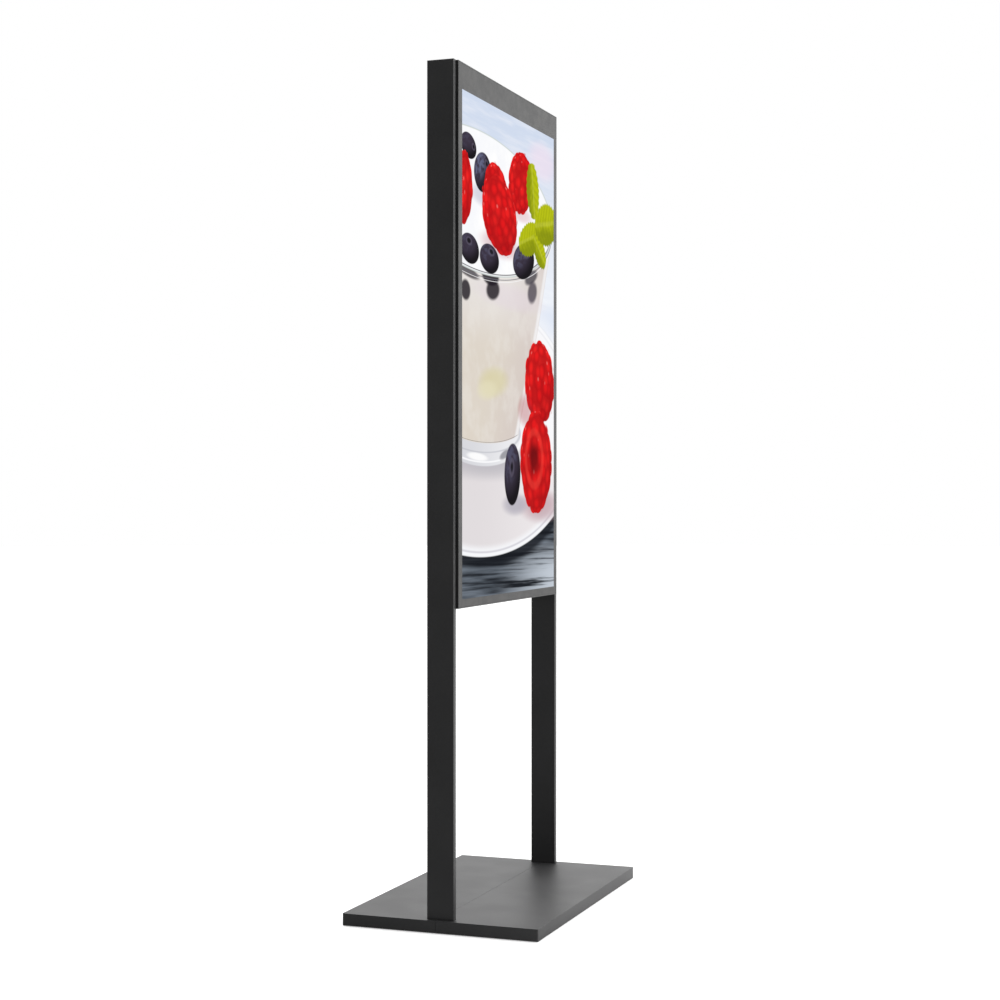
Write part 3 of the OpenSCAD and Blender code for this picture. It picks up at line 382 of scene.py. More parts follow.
class Painter:
    """Paints the still life that the display shows, layer over layer, as one emission colour.

    p is (u, v, 0): u in mm from the picture's left edge, v in mm down from its top edge.
    """

    def __init__(self, t, p):
        self.t, self.p = t, p
        self.colour = None

    def over(self, mask, colour):
        self.colour = colour if self.colour is None else self.t.mix(mask, self.colour, colour)

    def disc(self, cx, cy, rx, ry, turn=0.0):
        """Local x and y of an ellipse, both 1 at its edge, and x*x + y*y."""
        t = self.t
        a = math.radians(turn)
        d = t.vec("SUBTRACT", self.p, (cx, cy, 0.0))
        x = t.vec("DOT_PRODUCT", d, (math.cos(a) / rx, math.sin(a) / rx, 0.0))
        y = t.vec("DOT_PRODUCT", d, (-math.sin(a) / ry, math.cos(a) / ry, 0.0))
        r2 = t.math("MULTIPLY_ADD", y, y, t.mul(x, x))
        return x, y, r2

    def inside(self, r2, soft=0.03):
        return self.t.ramp(r2, 1 + soft, 1 - soft)

    def spot(self, cx, cy, rx, ry, colour, strength=1.0, turn=0.0, soft=0.9):
        """Soft patch of one colour."""
        _, _, r2 = self.disc(cx, cy, rx, ry, turn)
        self.over(self.t.ramp(r2, 1 + soft, max(0.0, 1 - soft), 0.0, strength), rgb(*colour))

    def arc(self, cx, cy, rx, ry, width, colour, strength=1.0, keep=None):
        """Thin line along an ellipse; keep is another mask on it."""
        t = self.t
        _, _, r2 = self.disc(cx, cy, rx, ry)
        line = t.ramp(t.math("ABSOLUTE", t.sub(r2, 1.0)), width, width * 0.25, 0.0, strength)
        self.over(t.mul(line, keep) if keep is not None else line, rgb(*colour))

    def ball(self, x, y, r2):
        """Point on the half ball that bulges towards the viewer, and how lit it is."""
        t = self.t
        z = t.math("SQRT", t.math("MAXIMUM", t.sub(1.0, r2), 0.0))
        n = t.join(x, y, z)
        return n, t.vec("DOT_PRODUCT", n, (-0.42, -0.62, 0.66))

    def blueberry(self, cx, cy, rx, ry, turn=0.0, bloom=0.5, crown=(0.3, -0.45)):
        t = self.t
        x, y, r2 = self.disc(cx, cy, rx, ry, turn)
        n, light = self.ball(x, y, r2)
        skin = t.mix(t.ramp(light, -0.2, 0.95), rgb(19, 15, 22), rgb(58, 50, 66))
        frost = t.noise(t.vec("ADD", n, (cx * 0.13, cy * 0.13, 0.0)), 2.4, 3, 0.6)
        haze = t.mul(t.ramp(frost, 0.42, 0.62), t.ramp(light, 0.35, 0.95, 0.0, bloom))
        skin = t.mix(haze, skin, rgb(116, 122, 156))
        cup = t.vec("DISTANCE", n, (crown[0], crown[1], 0.84))
        ring = t.ramp(t.math("ABSOLUTE", t.sub(cup, 0.26)), 0.11, 0.03, 0.0, 0.55)
        skin = t.mix(ring, skin, rgb(92, 86, 104))
        skin = t.mix(t.ramp(cup, 0.26, 0.12, 0.0, 0.9), skin, rgb(14, 11, 16))
        self.over(self.inside(r2, 0.06), skin)

    def raspberry(self, cx, cy, rx, ry, turn=0.0, scale=3.1, pit=None):
        """Drupelets are cells on a ball; pit is the hollow end's centre where it shows."""
        t = self.t
        x, y, r2 = self.disc(cx, cy, rx, ry, turn)
        n, light = self.ball(x, y, r2)
        seed = t.vec("ADD", n, (cx * 0.037, cy * 0.041, 0.0))
        d, tone = t.cells(seed, scale, random=0.72)
        glint, _ = t.cells(t.vec("ADD", seed, (0.055, 0.075, -0.05)), scale, random=0.72)
        flesh = t.mix(t.grey(tone), rgb(222, 8, 16), rgb(246, 34, 32))
        lit = t.mul(t.ramp(d, 0.70, 0.14, 0.5, 1.0), t.ramp(light, -0.6, 0.55, 0.55, 1.0))
        berry = t.mix(lit, rgb(132, 0, 8), flesh)
        shine = t.mul(t.ramp(glint, 0.22, 0.06, 0.0, 0.4), t.ramp(light, 0.1, 0.8))
        berry = t.mix(shine, berry, rgb(255, 158, 152))
        if pit:
            hole = t.vec("DISTANCE", n, (pit[0], pit[1], 0.9))
            berry = t.mix(t.ramp(hole, 0.44, 0.14, 0.0, 0.9), berry, rgb(104, 0, 6))
            collar = t.ramp(t.math("ABSOLUTE", t.sub(hole, 0.50)), 0.12, 0.03, 0.0, 0.35)
            berry = t.mix(collar, berry, rgb(250, 70, 60))
        scallop = t.math("MULTIPLY_ADD", d, 0.24, r2)
        self.over(self.inside(scallop, 0.03), berry)

    def leaf(self, cx, cy, rx, ry, turn, veins=5.0):
        t = self.t
        x, y, r2 = self.disc(cx, cy, rx, ry, turn)
        # Serrated, pointed outline: an ellipse narrowed towards both tips
        tooth = t.mul(t.math("PINGPONG", t.mul(x, veins), 0.5), 0.30)
        shape = t.add(t.add(r2, t.mul(t.math("ABSOLUTE", x), 0.14)), tooth)
        wave = t.noise(t.join(x, y, cx), 2.2, 3, 0.6)
        along = t.sub(t.mul(x, veins * 0.8), t.mul(t.math("ABSOLUTE", y), 1.5))
        slant = t.math("PINGPONG", t.add(along, t.mul(wave, 0.9)), 0.5)
        rib = t.ramp(t.math("ABSOLUTE", t.add(y, t.mul(wave, 0.1))), 0.16, 0.03)
        green = t.mix(t.ramp(slant, 0.0, 0.42), rgb(170, 179, 8), rgb(184, 193, 12))
        green = t.mix(t.ramp(t.add(t.mul(y, 0.7), wave), 0.2, 0.95, 0.0, 0.8), green, rgb(124, 136, 4))
        green = t.mix(t.mul(rib, 0.22), green, rgb(216, 222, 90))
        self.over(self.inside(shape, 0.07), green)


def paint_picture(t):
    """Colour and lit area of the picture on the display: berries on yoghurt in a glass, on a plate."""
    x, _, z = t.split(t.mm())
    u, v = t.add(x, PICTURE_LEFT), t.sub(PICTURE_TOP, z)
    p = t.join(u, v, 0.0)
    art = Painter(t, p)

    # Pale table behind, with long soft streaks
    streak = t.noise(t.vec("MULTIPLY", p, (0.004, 0.045, 1.0)), 1.0, 3, 0.6)
    back = t.mix(t.ramp(v, 0.0, 520.0), rgb(208, 219, 238), rgb(246, 249, 253))
    art.over(None, t.mix(t.ramp(streak, 0.40, 0.66, 0.0, 0.6), back, rgb(232, 236, 246)))
    art.spot(520, 70, 90, 40, (246, 226, 240), 0.6)
    art.spot(560, 450, 150, 40, (222, 230, 245), 0.8, turn=-6)

    # Dark wood below the plate
    grainway = t.math("MULTIPLY_ADD", u, -0.02, v)
    wood = t.noise(t.vec("MULTIPLY", t.join(u, grainway, 0.0), (0.0018, 0.055, 1.0)), 1.0, 4, 0.55, 0.1)
    board = t.mix(t.ramp(wood, 0.36, 0.64), rgb(22, 26, 33), rgb(112, 121, 132))
    glare = t.mul(t.ramp(u, 180.0, 640.0), t.ramp(v, 950.0, 1040.0))
    board = t.mix(t.mul(glare, t.ramp(wood, 0.36, 0.50)), board, rgb(196, 204, 214))
    art.over(t.ramp(v, 876.0, 900.0), board)

    # Plate: shadow, rim, inner well
    _, _, shade = art.disc(160, 716, 640, 292)
    art.over(t.ramp(shade, 1.10, 0.98, 0.0, 0.9), rgb(16, 20, 28))
    _, _, plate = art.disc(150, 700, 642, 289)
    art.over(art.inside(plate, 0.012), rgb(246, 247, 250))
    grey = t.mix(t.ramp(u, 60.0, 560.0), rgb(225, 220, 222), rgb(236, 231, 233))
    art.over(t.ramp(plate, 0.93, 0.80), grey)
    art.over(t.mul(t.ramp(plate, 0.955, 0.935), t.ramp(plate, 0.90, 0.93)), rgb(214, 213, 220))
    art.spot(470, 640, 210, 190, (250, 250, 252), 0.9, soft=0.6)

    # Glass foot
    art.spot(150, 770, 300, 44, (176, 174, 182), 0.7)
    _, _, foot = art.disc(122, 722, 262, 70)
    art.over(art.inside(foot, 0.05), t.mix(t.ramp(u, 0.0, 380.0), rgb(216, 217, 222), rgb(238, 238, 241)))
    art.arc(122, 722, 250, 61, 0.09, (252, 252, 254), 0.9)
    art.arc(122, 714, 240, 48, 0.10, (186, 188, 196), 0.6)
    art.spot(262, 764, 34, 9, (120, 120, 128), 0.75, turn=-14, soft=0.6)
    art.spot(90, 772, 60, 8, (255, 255, 255), 0.9, turn=3, soft=0.6)

    # Glass body with yoghurt: between a slanted side and a round bottom
    side = t.math("MULTIPLY_ADD", t.sub(v, 255.0), 0.452, u)
    curve = t.mul(t.ramp(v, 430.0, 760.0, 0.0, 1.0), 26.0)
    side = t.add(side, curve)
    _, _, bottom = art.disc(128, 676, 292, 66)
    body = t.math("MAXIMUM", art.inside(bottom, 0.02), t.ramp(v, 700.0, 668.0))
    body = t.mul(body, t.mul(t.ramp(side, 588.0, 580.0), t.ramp(v, 225.0, 232.0)))
    cream = t.mix(t.ramp(v, 380.0, 560.0), rgb(230, 225, 222), rgb(221, 212, 200))
    cream = t.mix(t.ramp(side, 300.0, 585.0, 0.0, 0.7), cream, rgb(212, 200, 196))
    mottle = t.noise(p, 0.012, 3, 0.6)
    cream = t.mix(t.ramp(mottle, 0.42, 0.66, 0.0, 0.35), cream, rgb(236, 232, 226))
    art.over(body, cream)
    edge = t.mul(t.ramp(side, 556.0, 572.0), t.ramp(side, 588.0, 578.0))
    art.over(t.mul(t.mul(edge, 0.75), body), rgb(246, 246, 248))
    art.spot(190, 606, 84, 30, (216, 208, 160), 0.7, turn=-5)
    art.spot(150, 626, 56, 20, (228, 222, 190), 0.7, turn=-5)
    below = t.mul(t.ramp(v, 690.0, 712.0), t.ramp(side, 590.0, 570.0))
    art.arc(128, 676, 288, 64, 0.022, (92, 90, 94), 0.8, keep=below)

    # Berries seen through the glass below the rim
    art.spot(300, 410, 200, 26, (226, 214, 222), 0.5)
    art.spot(170, 372, 54, 24, (34, 26, 36), 0.95, soft=0.3)
    art.spot(186, 404, 42, 22, (30, 22, 34), 0.95, turn=-8, soft=0.4)
    art.spot(20, 420, 28, 22, (34, 28, 38), 0.95, soft=0.35)
    art.spot(34, 380, 66, 11, (40, 32, 44), 0.85, turn=6, soft=0.5)
    art.spot(440, 350, 46, 15, (46, 42, 58), 0.85, turn=-18, soft=0.5)
    art.spot(448, 384, 34, 24, (58, 50, 68), 0.85, turn=-24, soft=0.5)

    # Yoghurt surface and rim of the glass
    _, _, rim = art.disc(120, 222, 470, 153)
    top = t.mix(t.ramp(mottle, 0.4, 0.7), rgb(248, 249, 252), rgb(255, 255, 255))
    art.over(art.inside(rim, 0.012), top)
    front = t.ramp(v, 215.0, 300.0)
    art.arc(120, 222, 470, 153, 0.030, (206, 214, 212), 0.9)
    art.arc(120, 219, 466, 152, 0.024, (58, 58, 68), 0.85, keep=front)
    art.arc(120, 226, 472, 156, 0.018, (104, 104, 114), 0.85, keep=front)
    art.arc(120, 231, 474, 156, 0.012, (250, 250, 252), 0.9, keep=front)

    # Soft shadows of the fruit on the yoghurt
    art.spot(120, 205, 60, 22, (196, 196, 212), 0.7)
    art.spot(236, 300, 118, 26, (214, 176, 184), 0.7)
    art.spot(376, 214, 60, 16, (222, 184, 190), 0.6)

    # Fruit on top
    art.blueberry(38, 112, 46, 27, 6, 0.1, (0.7, -0.2))
    art.raspberry(4, 206, 60, 84, 8, 2.7)
    art.blueberry(122, 156, 53, 43, -12, 0.6, (0.62, -0.42))
    art.raspberry(368, 142, 90, 74, -22, 3.2)
    art.raspberry(206, 184, 80, 64, 14, 2.6)
    art.raspberry(230, 234, 122, 90, 16, 3.4)
    art.blueberry(44, 330, 56, 32, 4, 0.12, (-0.1, -0.5))
    art.blueberry(164, 338, 60, 32, 2, 0.2, (0.2, -0.55))
    art.blueberry(388, 318, 74, 41, -12, 0.3, (0.35, -0.4))

    # Mint
    art.leaf(432, 262, 90, 40, -16, 6)
    art.leaf(500, 282, 58, 34, 34, 5)
    art.leaf(548, 214, 92, 52, -10, 6)
    art.leaf(452, 148, 74, 45, 80, 5)

    # Fruit on the plate
    art.spot(508, 880, 128, 34, (196, 168, 176), 0.85)
    art.spot(330, 876, 74, 22, (178, 174, 186), 0.85)
    art.raspberry(502, 592, 112, 104, 12, 3.3)
    art.spot(398, 660, 44, 34, (180, 40, 50), 0.5)
    art.blueberry(312, 808, 53, 70, 6, 0.25, (-0.1, -0.2))
    art.raspberry(476, 778, 118, 126, -6, 3.4, pit=(-0.12, -0.08))

    # The lit area ends in the panel's own black frame
    from_middle = t.math("ABSOLUTE", t.sub(v, PICTURE_HEIGHT / 2))
    across = t.ramp(t.math("ABSOLUTE", x), PICTURE_LEFT + 0.4, PICTURE_LEFT - 0.2)
    lit = t.mul(across, t.ramp(from_middle, PICTURE_HEIGHT / 2 + 0.4, PICTURE_HEIGHT / 2 - 0.2))
    return art.colour, lit


def panel_shader(t, colour):
    """Lit liquid-crystal surface: the picture is its own light, over matt black."""
    matt = t.ramp(t.noise(t.mm(), 0.8, 1), 0.3, 0.7, 0.42, 0.5)
    return t.shader(
        (0.004, 0.004, 0.004, 1), matt, Emission_Color=colour, Emission_Strength=1.0, Specular_IOR_Level=0.0
    )


def picture():
    t = Nodes("picture")
    colour, lit = paint_picture(t)
    t.feed(t.out.inputs[0], panel_shader(t, t.mix(lit, (0, 0, 0, 1), colour)))
    return t.mat


def front_glass():
    """Front of the bonded, reflection-free glass: where the panel behind it is lit, the panel's light is
    painted on the glass's own front as a glow of the picture, and the matt border shows elsewhere,
    both right at its surface."""
    t = Nodes("front_glass")
    colour, lit = paint_picture(t)
    facing = t.ramp(t.split(t.new("NewGeometry").outputs["Normal"])[1], -0.5, -0.6)
    # Painted light: where the panel behind is lit, the glass's front itself glows with the picture
    return t.either(t.mul(lit, facing), ink(t), panel_shader(t, colour))


# ------------------------------------------------------- boards and sockets


def circuit_board(name, mask_dark, mask_light, caps=()):
    """Board with tracks and pads under the lacquer, and darker parts standing on it.

    caps are centres, in mm along X and Z, of the round capacitors with metal tops."""
    t = Nodes(name)
    p = t.mm()
    x, y, z = t.split(p)
    flat = t.join(x, z, 0.0)
    lanes = t.math("PINGPONG", t.mul(t.add(x, z), 0.55), 0.5)
    _, patch = t.cells(flat, 0.055)
    across = t.math("PINGPONG", t.mul(t.sub(x, z), 0.55), 0.5)
    which = t.ramp(t.grey(patch), 0.45, 0.5)
    track = t.ramp(t.add(t.mul(lanes, t.sub(1.0, which)), t.mul(across, which)), 0.22, 0.27)
    pads, _ = t.cells(flat, 0.22, random=0.3)
    pad = t.ramp(pads, 0.17, 0.13)
    lacquer = t.mix(track, rgb(*mask_dark), rgb(*mask_light))
    lacquer = t.mix(t.mul(pad, 0.9), lacquer, rgb(196, 190, 172))
    # Parts: everything that stands more than the board's thickness
    part = t.ramp(y, BOARD_FACE, BOARD_FACE + 0.08)
    _, block = t.cells(flat, 0.035)
    parts = t.mix(t.ramp(t.grey(block), 0.3, 0.6), rgb(24, 24, 26), rgb(58, 54, 50))
    metal = 0.0
    for cx, cz in caps:
        near = t.ramp(t.vec("DISTANCE", flat, (cx, cz, 0.0)), 8.4, 8.2)
        metal = t.math("MAXIMUM", metal, near)
    if caps:
        up = t.ramp(t.split(t.new("NewGeometry").outputs["Normal"])[1], 0.7, 0.9)
        parts = t.mix(metal, parts, rgb(30, 34, 52))
        parts = t.mix(t.mul(metal, up), parts, rgb(176, 178, 180))
    colour = t.mix(part, lacquer, parts)
    relief = t.add(t.mul(track, 0.5), t.mul(t.noise(p, 1.1, 2), 0.5))
    return t.surface(colour, t.ramp(part, 0.0, 1.0, 0.34, 0.55), t.bump(relief, 0.00005, 0.6))


# ------------------------------------------------------------ the materials

MATERIALS = {
    "cover_coat": powder_coat("cover_coat", (24, 24, 25), (42, 42, 43), 0.47),
    "post_coat": powder_coat("post_coat", (21, 21, 22), (34, 34, 35), 0.47),
    "frame_coat": powder_coat("frame_coat", (16, 16, 17), (30, 30, 31), 0.46, 1.8, round_off=0.0002),
    "rear_coat": powder_coat("rear_coat", (24, 24, 25), (40, 40, 41), 0.48, round_off=0.0003),
    "raw_steel": plated("raw_steel", (58, 56, 55), (96, 92, 88), 0.52, depth=0.00004),
    "zinc": plated("zinc", (150, 152, 154), (188, 190, 192), 0.34),
    "tray_steel": plated("tray_steel", (150, 153, 156), (182, 185, 188), 0.38, spangle=0.45),
    "rubber": moulded("rubber", (18, 18, 18), (34, 34, 34), 0.82, 1.2, 0.00006),
    "foam": foam(),
    "black_plastic": moulded("black_plastic", (20, 20, 21), (34, 34, 35), 0.5),
    "cap_plastic": moulded("cap_plastic", (22, 22, 23), (36, 36, 37), 0.5),
    "key_plastic": moulded("key_plastic", (26, 26, 28), (44, 44, 46), 0.38, 3.0, 0.00001),
    "front_glass": front_glass(),
    "border_ink": border_ink(),
    "film": clear_film(),
    "picture": picture(),
    "diffuser": moulded("diffuser", (226, 228, 230), (244, 245, 246), 0.6),
    "lamp_white": moulded("lamp_white", (222, 220, 204), (246, 245, 236), 0.4),
    "board_green": circuit_board("board_green", (10, 62, 38), (22, 96, 60)),
    "board_tan": circuit_board("board_tan", (128, 98, 44), (158, 128, 66), CAPACITORS),
    "brass": plated("brass", (176, 136, 66), (206, 172, 96), 0.3),
    "wire": wire(),
    "player_coat": powder_coat("player_coat", (34, 35, 37), (52, 53, 56), 0.42, grain=2.2),
    "socket_metal": plated("socket_metal", (138, 140, 142), (178, 180, 182), 0.32),
    "lock_metal": plated("lock_metal", (168, 170, 172), (208, 210, 212), 0.22),
}

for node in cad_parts.values():
    slot = node.material_slots[0].material.name.split(".")[0]
    node.material_slots[0].material = MATERIALS[slot]


# ------------------------------------------------------------- edge rounding


def soften(names, width, segments=2, angle=40):
    """Rounds sharp edges of CAD nodes by width mm with modifiers; their meshes stay as they are."""
    for n in names:
        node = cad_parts[n]
        weld = node.modifiers.new("weld", "WELD")
        weld.merge_threshold = 1e-6
        bevel = node.modifiers.new("bevel", "BEVEL")
        bevel.width = width * MM
        bevel.segments = segments
        bevel.limit_method = "ANGLE"
        bevel.angle_limit = math.radians(angle)
        bevel.use_clamp_overlap = True
        node.modifiers.new("normals", "WEIGHTED_NORMAL")


soften(["base_cover_front", "base_cover_rear"], 0.4)
soften(["post_caps", "media_player", "lock_body"], 0.4)
soften(["front_glass", "rail_left", "rail_right", "rail_top", "rail_bottom"], 0.25)
soften(["power_inlet", "switch_housing", "data_sockets"], 0.25)
soften(["switch_rocker", "key_power", "key_up", "key_down", "key_menu"], 0.35, 3)


# ------------------------------------------------------- pieces of their own


def piece(name, mesh_code, material, body="stand", smooth=40):
    """Makes a piece from bmesh code that works in millimetres, and puts it on a CAD body."""
    made = bmesh.new()
    mesh_code(made)
    bmesh.ops.scale(made, vec=(MM, MM, MM), verts=made.verts)
    bmesh.ops.remove_doubles(made, verts=made.verts, dist=1e-7)
    bmesh.ops.recalc_face_normals(made, faces=made.faces)
    for face in made.faces:
        face.smooth = True
    for edge in made.edges:
        edge.smooth = not (len(edge.link_faces) == 2 and edge.calc_face_angle() > math.radians(smooth))
    mesh = bpy.data.meshes.new(name)
    made.to_mesh(mesh)
    made.free()
    obj = bpy.data.objects.new(name, mesh)
    scene.collection.objects.link(obj)
    mesh.materials.append(MATERIALS[material])
    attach(obj, body)


def lathe(made, centre, profile, steps):
    """Closed round body: profile is (radius, height) pairs, turned round a line along +Y."""
    rings = []
    for radius, height in profile:
        angles = [2 * math.pi * i / steps for i in range(steps)] if radius else [0.0]
        offsets = [(radius * math.cos(a), height, -radius * math.sin(a)) for a in angles]
        rings.append([made.verts.new(Vector(centre) + Vector(offset)) for offset in offsets])
    for low, high in zip(rings, rings[1:]):
        for i in range(steps):
            j = (i + 1) % steps
            corners = [low[i % len(low)], low[j % len(low)], high[j % len(high)], high[i % len(high)]]
            made.faces.new(list(dict.fromkeys(corners)))


def rounded_outline(w, h, r, steps=5):
    """Corner points of a rectangle with round corners, centred, anticlockwise."""
    points = []
    for k, (sx, sy) in enumerate([(1, 1), (-1, 1), (-1, -1), (1, -1)]):
        for i in range(steps + 1):
            a = math.pi / 2 * (k + i / steps)
            points.append((sx * (w / 2 - r) + r * math.cos(a), sy * (h / 2 - r) + r * math.sin(a)))
    return points


def stack(made, layers, place):
    """Skin over outlines at their heights; place turns an outline's point and a height into x, y, z."""
    rings = [[made.verts.new(place(x, y, h)) for x, y in outline] for outline, h in layers]
    for low, high in zip(rings, rings[1:]):
        for i in range(len(low)):
            j = (i + 1) % len(low)
            made.faces.new((low[i], low[j], high[j], high[i]))
    return rings


def frame_ring(made, centre, size, corner, band, y0, y1, edge=0.4):
    """Flat rectangular ring in the XZ plane, from y0 to y1, with chamfered edges."""

    def at(x, z, y):
        return (centre[0] + x, y, centre[1] + z)

    half = [(0, y0 + edge), (edge, y0), (band - edge, y0), (band, y0 + edge)]
    section = half + [(inset, y0 + y1 - y) for inset, y in reversed(half)] + half[:1]
    outlines = [
        (rounded_outline(size[0] - 2 * inset, size[1] - 2 * inset, max(corner - inset, 0.3)), y)
        for inset, y in section
    ]
    stack(made, outlines, at)


def woven_panel(made, centre, size, y, pitch):
    """Thin closed sheet of woven mesh: the threads' crossings stand out on either side by turns."""
    nx, nz = round(size[0] / pitch), round(size[1] / pitch)
    thickness, weave = 0.5, 0.16

    def crossing(i, k, base):
        x = centre[0] + (i / nx - 0.5) * size[0]
        z = centre[1] + (k / nz - 0.5) * size[1]
        return made.verts.new((x, base + (weave if (i + k) % 2 else -weave), z))

    for base in (y, y + thickness):
        rows = [[crossing(i, k, base) for i in range(nx + 1)] for k in range(nz + 1)]
        for low, high in zip(rows, rows[1:]):
            for i in range(nx):
                made.faces.new((low[i], low[i + 1], high[i + 1], high[i]))
    bmesh.ops.bridge_loops(made, edges=[e for e in made.edges if len(e.link_faces) == 1])


def air_filter(centre, size):
    """Filter cloth held in a moulded frame, its edge buried in the frame's inner half."""

    def code(made):
        woven_panel(made, centre, (size[0] - 6, size[1] - 6), SHEET_INSIDE - 1.5, 2.6)
        frame_ring(made, centre, size, 3, 7, SHEET_INSIDE - 2.7, SHEET_INSIDE)

    return code


def speaker_cones(side):
    """Two cones, each with a dust cap, a sloping cone, a rolled surround and a flat rim."""
    cap = [(0.0, 1.9), (2.0, 1.75), (3.6, 1.2), (4.6, 0.5), (5.0, 0.35)]
    cone = [(8.0, 1.1), (12.2, 2.2), (12.8, 2.4)]
    surround = [(13.6, 3.1), (14.6, 3.4), (15.6, 3.1), (16.3, 2.4)]
    rim = [(17.6, 2.3), (17.8, 0.0), (0.0, 0.0)]

    def code(made):
        for x in (-22, 22):
            centre = (side * SPEAKER[0] + x, SPEAKER_FRONT - 4, SPEAKER[1])
            lathe(made, centre, cap + cone + surround + rim, 48)

    return code


def speaker_seal(side):
    """Foam frame between a loudspeaker's front and the rear sheet."""

    def code(made):
        centre = (side * SPEAKER[0], SPEAKER[1])
        frame_ring(made, centre, (94, 44), 5, 4.5, SPEAKER_FRONT, SHEET_INSIDE, 0.8)

    return code


def door_seal(made):
    """Thin foam strips with domed faces on the bars that the door closes against."""
    dome = ((0.0, 0.0), (0.05, 0.1), (0.5, 0.19), (1.4, 0.24), (2.6, 0.26))
    length, width = DOOR_SEAL
    layers = [
        (rounded_outline(length - 2 * inset, width - 2 * inset, width / 2 - 0.1 - inset), rise)
        for inset, rise in dome
    ]
    for middle in CROSSBAR_LIPS:
        rings = stack(made, layers, lambda x, z, rise: (x, CROSSBAR_FACE + rise, middle + z))
        made.faces.new(rings[0])
        made.faces.new(rings[-1])


def lead_plugs(made):
    """Moulded plugs on the leads that go into the media player's top, with ribbed sleeves."""
    for x, w, d, lead in PLAYER_LEADS:
        grip = [(w - 1.0, d - 1.0, 0.05), (w, d, 0.5), (w, d, 6.2), (w - 0.6, d - 0.6, 7.2)]
        grip.append((lead + 3.2, lead + 2.6, 8.4))
        layers = [(rounded_outline(a, b, 1.6), h) for a, b, h in grip]
        for k in range(4):
            foot, wide = 8.8 + 1.7 * k, lead + 2.6 - 0.45 * k
            narrow = wide - 0.9
            rib = [(wide, foot), (wide, foot + 0.8), (narrow, foot + 0.95), (narrow, foot + 1.55)]
            layers += [(rounded_outline(a, a, a / 2 - 0.05), h) for a, h in rib]
        rings = stack(made, layers, lambda u, v, h: (x + u, LEAD_Y + v, PLAYER_TOP + h))
        made.faces.new(rings[0])
        made.faces.new(rings[-1])


def player_lamp(made):
    """Small domed lens of the media player's status lamp, in its collar."""
    collar = [(0.0, 0.0), (2.4, 0.0), (2.4, 0.45), (2.2, 0.6), (1.7, 0.6)]
    dome = [(1.6, 0.75), (1.3, 1.15), (0.7, 1.42), (0.0, 1.5)]
    lathe(made, PLAYER_LAMP, collar + dome, 32)


MATERIALS["filter_mesh"] = filter_mesh()
MATERIALS["cone_paper"] = moulded("cone_paper", (22, 22, 24), (44, 43, 42), 0.7, 0.9, 0.00008)
MATERIALS["status_lamp"] = status_lamp()

piece("air_filter_upper", air_filter(UPPER_VENTS, UPPER_FILTER), "filter_mesh")
for side, word in ((-1, "left"), (1, "right")):
    vents = (side * LOWER_VENTS[0], LOWER_VENTS[1])
    piece("air_filter_" + word, air_filter(vents, LOWER_FILTER), "filter_mesh")
for side, word in ((-1, "left"), (1, "right")):
    piece("speaker_cones_" + word, speaker_cones(side), "cone_paper")
    piece("speaker_seal_" + word, speaker_seal(side), "foam")
piece("door_seal", door_seal, "foam")
piece("lead_plugs", lead_plugs, "black_plastic")
piece("player_lamp", player_lamp, "status_lamp")


# ------------------------------------------------------------- stage, lights


# Direction, then the cosines to it and the brightness between which the room changes
STUDIO_LEVELS = [
    ((0.95, -0.25, 0.2), (-0.95, 0.30, 0.29, 1.25)),
    ((0.94, -0.34, 0.05), (0.50, 1.0, 0.0, 0.77)),
]


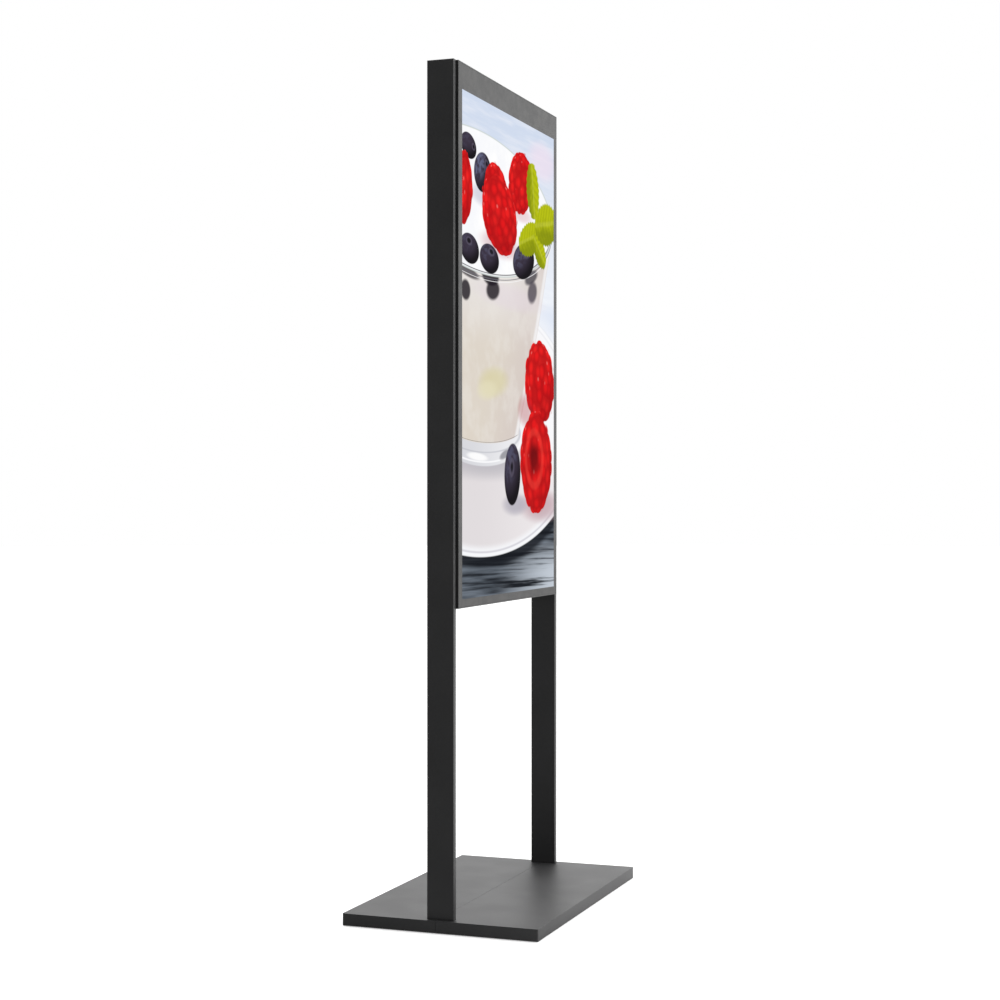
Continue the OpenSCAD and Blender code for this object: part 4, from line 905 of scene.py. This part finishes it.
def make_world():
    """Bright even studio, dimmer on the -X side, with a broad bright wall on the +X side."""
    world = bpy.data.worlds.new("studio")
    scene.world = world
    world.use_nodes = True
    tree = world.node_tree
    tree.nodes.clear()

    def node(kind, **settings):
        made = tree.nodes.new("ShaderNode" + kind)
        for key, value in settings.items():
            setattr(made, key, value)
        return made

    place, level = node("TexCoord"), node("Math", operation="ADD")
    for i, (towards, numbers) in enumerate(STUDIO_LEVELS):
        cosine = node("VectorMath", operation="DOT_PRODUCT")
        cosine.inputs[1].default_value = towards
        tree.links.new(place.outputs["Generated"], cosine.inputs[0])
        part = node("MapRange", interpolation_type="SMOOTHSTEP")
        for socket, number in zip(part.inputs[1:5], numbers):
            socket.default_value = number
        tree.links.new(cosine.outputs["Value"], part.inputs[0])
        tree.links.new(part.outputs[0], level.inputs[i])

    # The camera sees plain white, and everything else is lit by the room
    room, white = node("Background"), node("Background")
    for background in (room, white):
        background.inputs["Color"].default_value = (1, 1, 1, 1)
    white.inputs["Strength"].default_value = 1.0
    tree.links.new(level.outputs[0], room.inputs["Strength"])
    both = node("MixShader")
    tree.links.new(node("LightPath").outputs["Is Camera Ray"], both.inputs[0])
    tree.links.new(room.outputs[0], both.inputs[1])
    tree.links.new(white.outputs[0], both.inputs[2])
    tree.links.new(both.outputs[0], node("OutputWorld").inputs[0])


def floor_material():
    """Pale floor. It lights the object less than it looks, and least on the dim side of the room."""
    t = Nodes("floor")
    p = t.mm()
    colour = t.mix(t.ramp(t.noise(p, 0.002, 2), 0.3, 0.7), (0.90, 0.90, 0.90, 1), (0.92, 0.92, 0.92, 1))
    pale = t.shader(
        colour, 0.9, Emission_Color=(1, 1, 1, 1), Emission_Strength=0.35, Specular_IOR_Level=0.0
    )
    x, y, _ = t.split(p)
    away = t.sub(x, t.mul(y, 0.8))
    dim, glow, lit = t.new("BsdfDiffuse"), t.new("Emission"), t.new("AddShader")
    grey = t.mix(t.ramp(away, -650.0, 250.0), (0.36, 0.36, 0.36, 1), (0.95, 0.95, 0.95, 1))
    t.feed(dim.inputs["Color"], grey)
    t.feed(glow.inputs["Strength"], t.ramp(away, -300.0, 900.0, 0.0, 0.25))
    t.feed(lit.inputs[0], dim.outputs[0])
    t.feed(lit.inputs[1], glow.outputs[0])
    return t.either(t.new("LightPath").outputs["Is Camera Ray"], lit.outputs[0], pale)


def make_floor():
    mesh = bpy.data.meshes.new("floor")
    made = bmesh.new()
    bmesh.ops.create_circle(made, cap_ends=True, cap_tris=False, segments=96, radius=30.0)
    made.to_mesh(mesh)
    made.free()
    floor = bpy.data.objects.new("floor", mesh)
    scene.collection.objects.link(floor)
    mesh.materials.append(floor_material())


def soft_light(name, place, at, size, power):
    """Round area light at place that faces the point at, and that the camera doesn't see."""
    data = bpy.data.lights.new(name, "AREA")
    data.shape = "DISK"
    data.size = size
    data.energy = power
    obj = bpy.data.objects.new(name, data)
    obj.location = place
    obj.rotation_euler = (Vector(at) - Vector(place)).to_track_quat("-Z", "Y").to_euler()
    obj.visible_camera = False
    scene.collection.objects.link(obj)


make_world()
make_floor()
soft_light("key", (1.2, -4.0, 3.6), (0, 0, 0.9), 3.0, 60)
soft_light("top", (0.0, 0.5, 5.0), (0, 0, 0), 4.0, 40)
scene.view_settings.view_transform = "Standard"
scene.view_settings.look = "None"
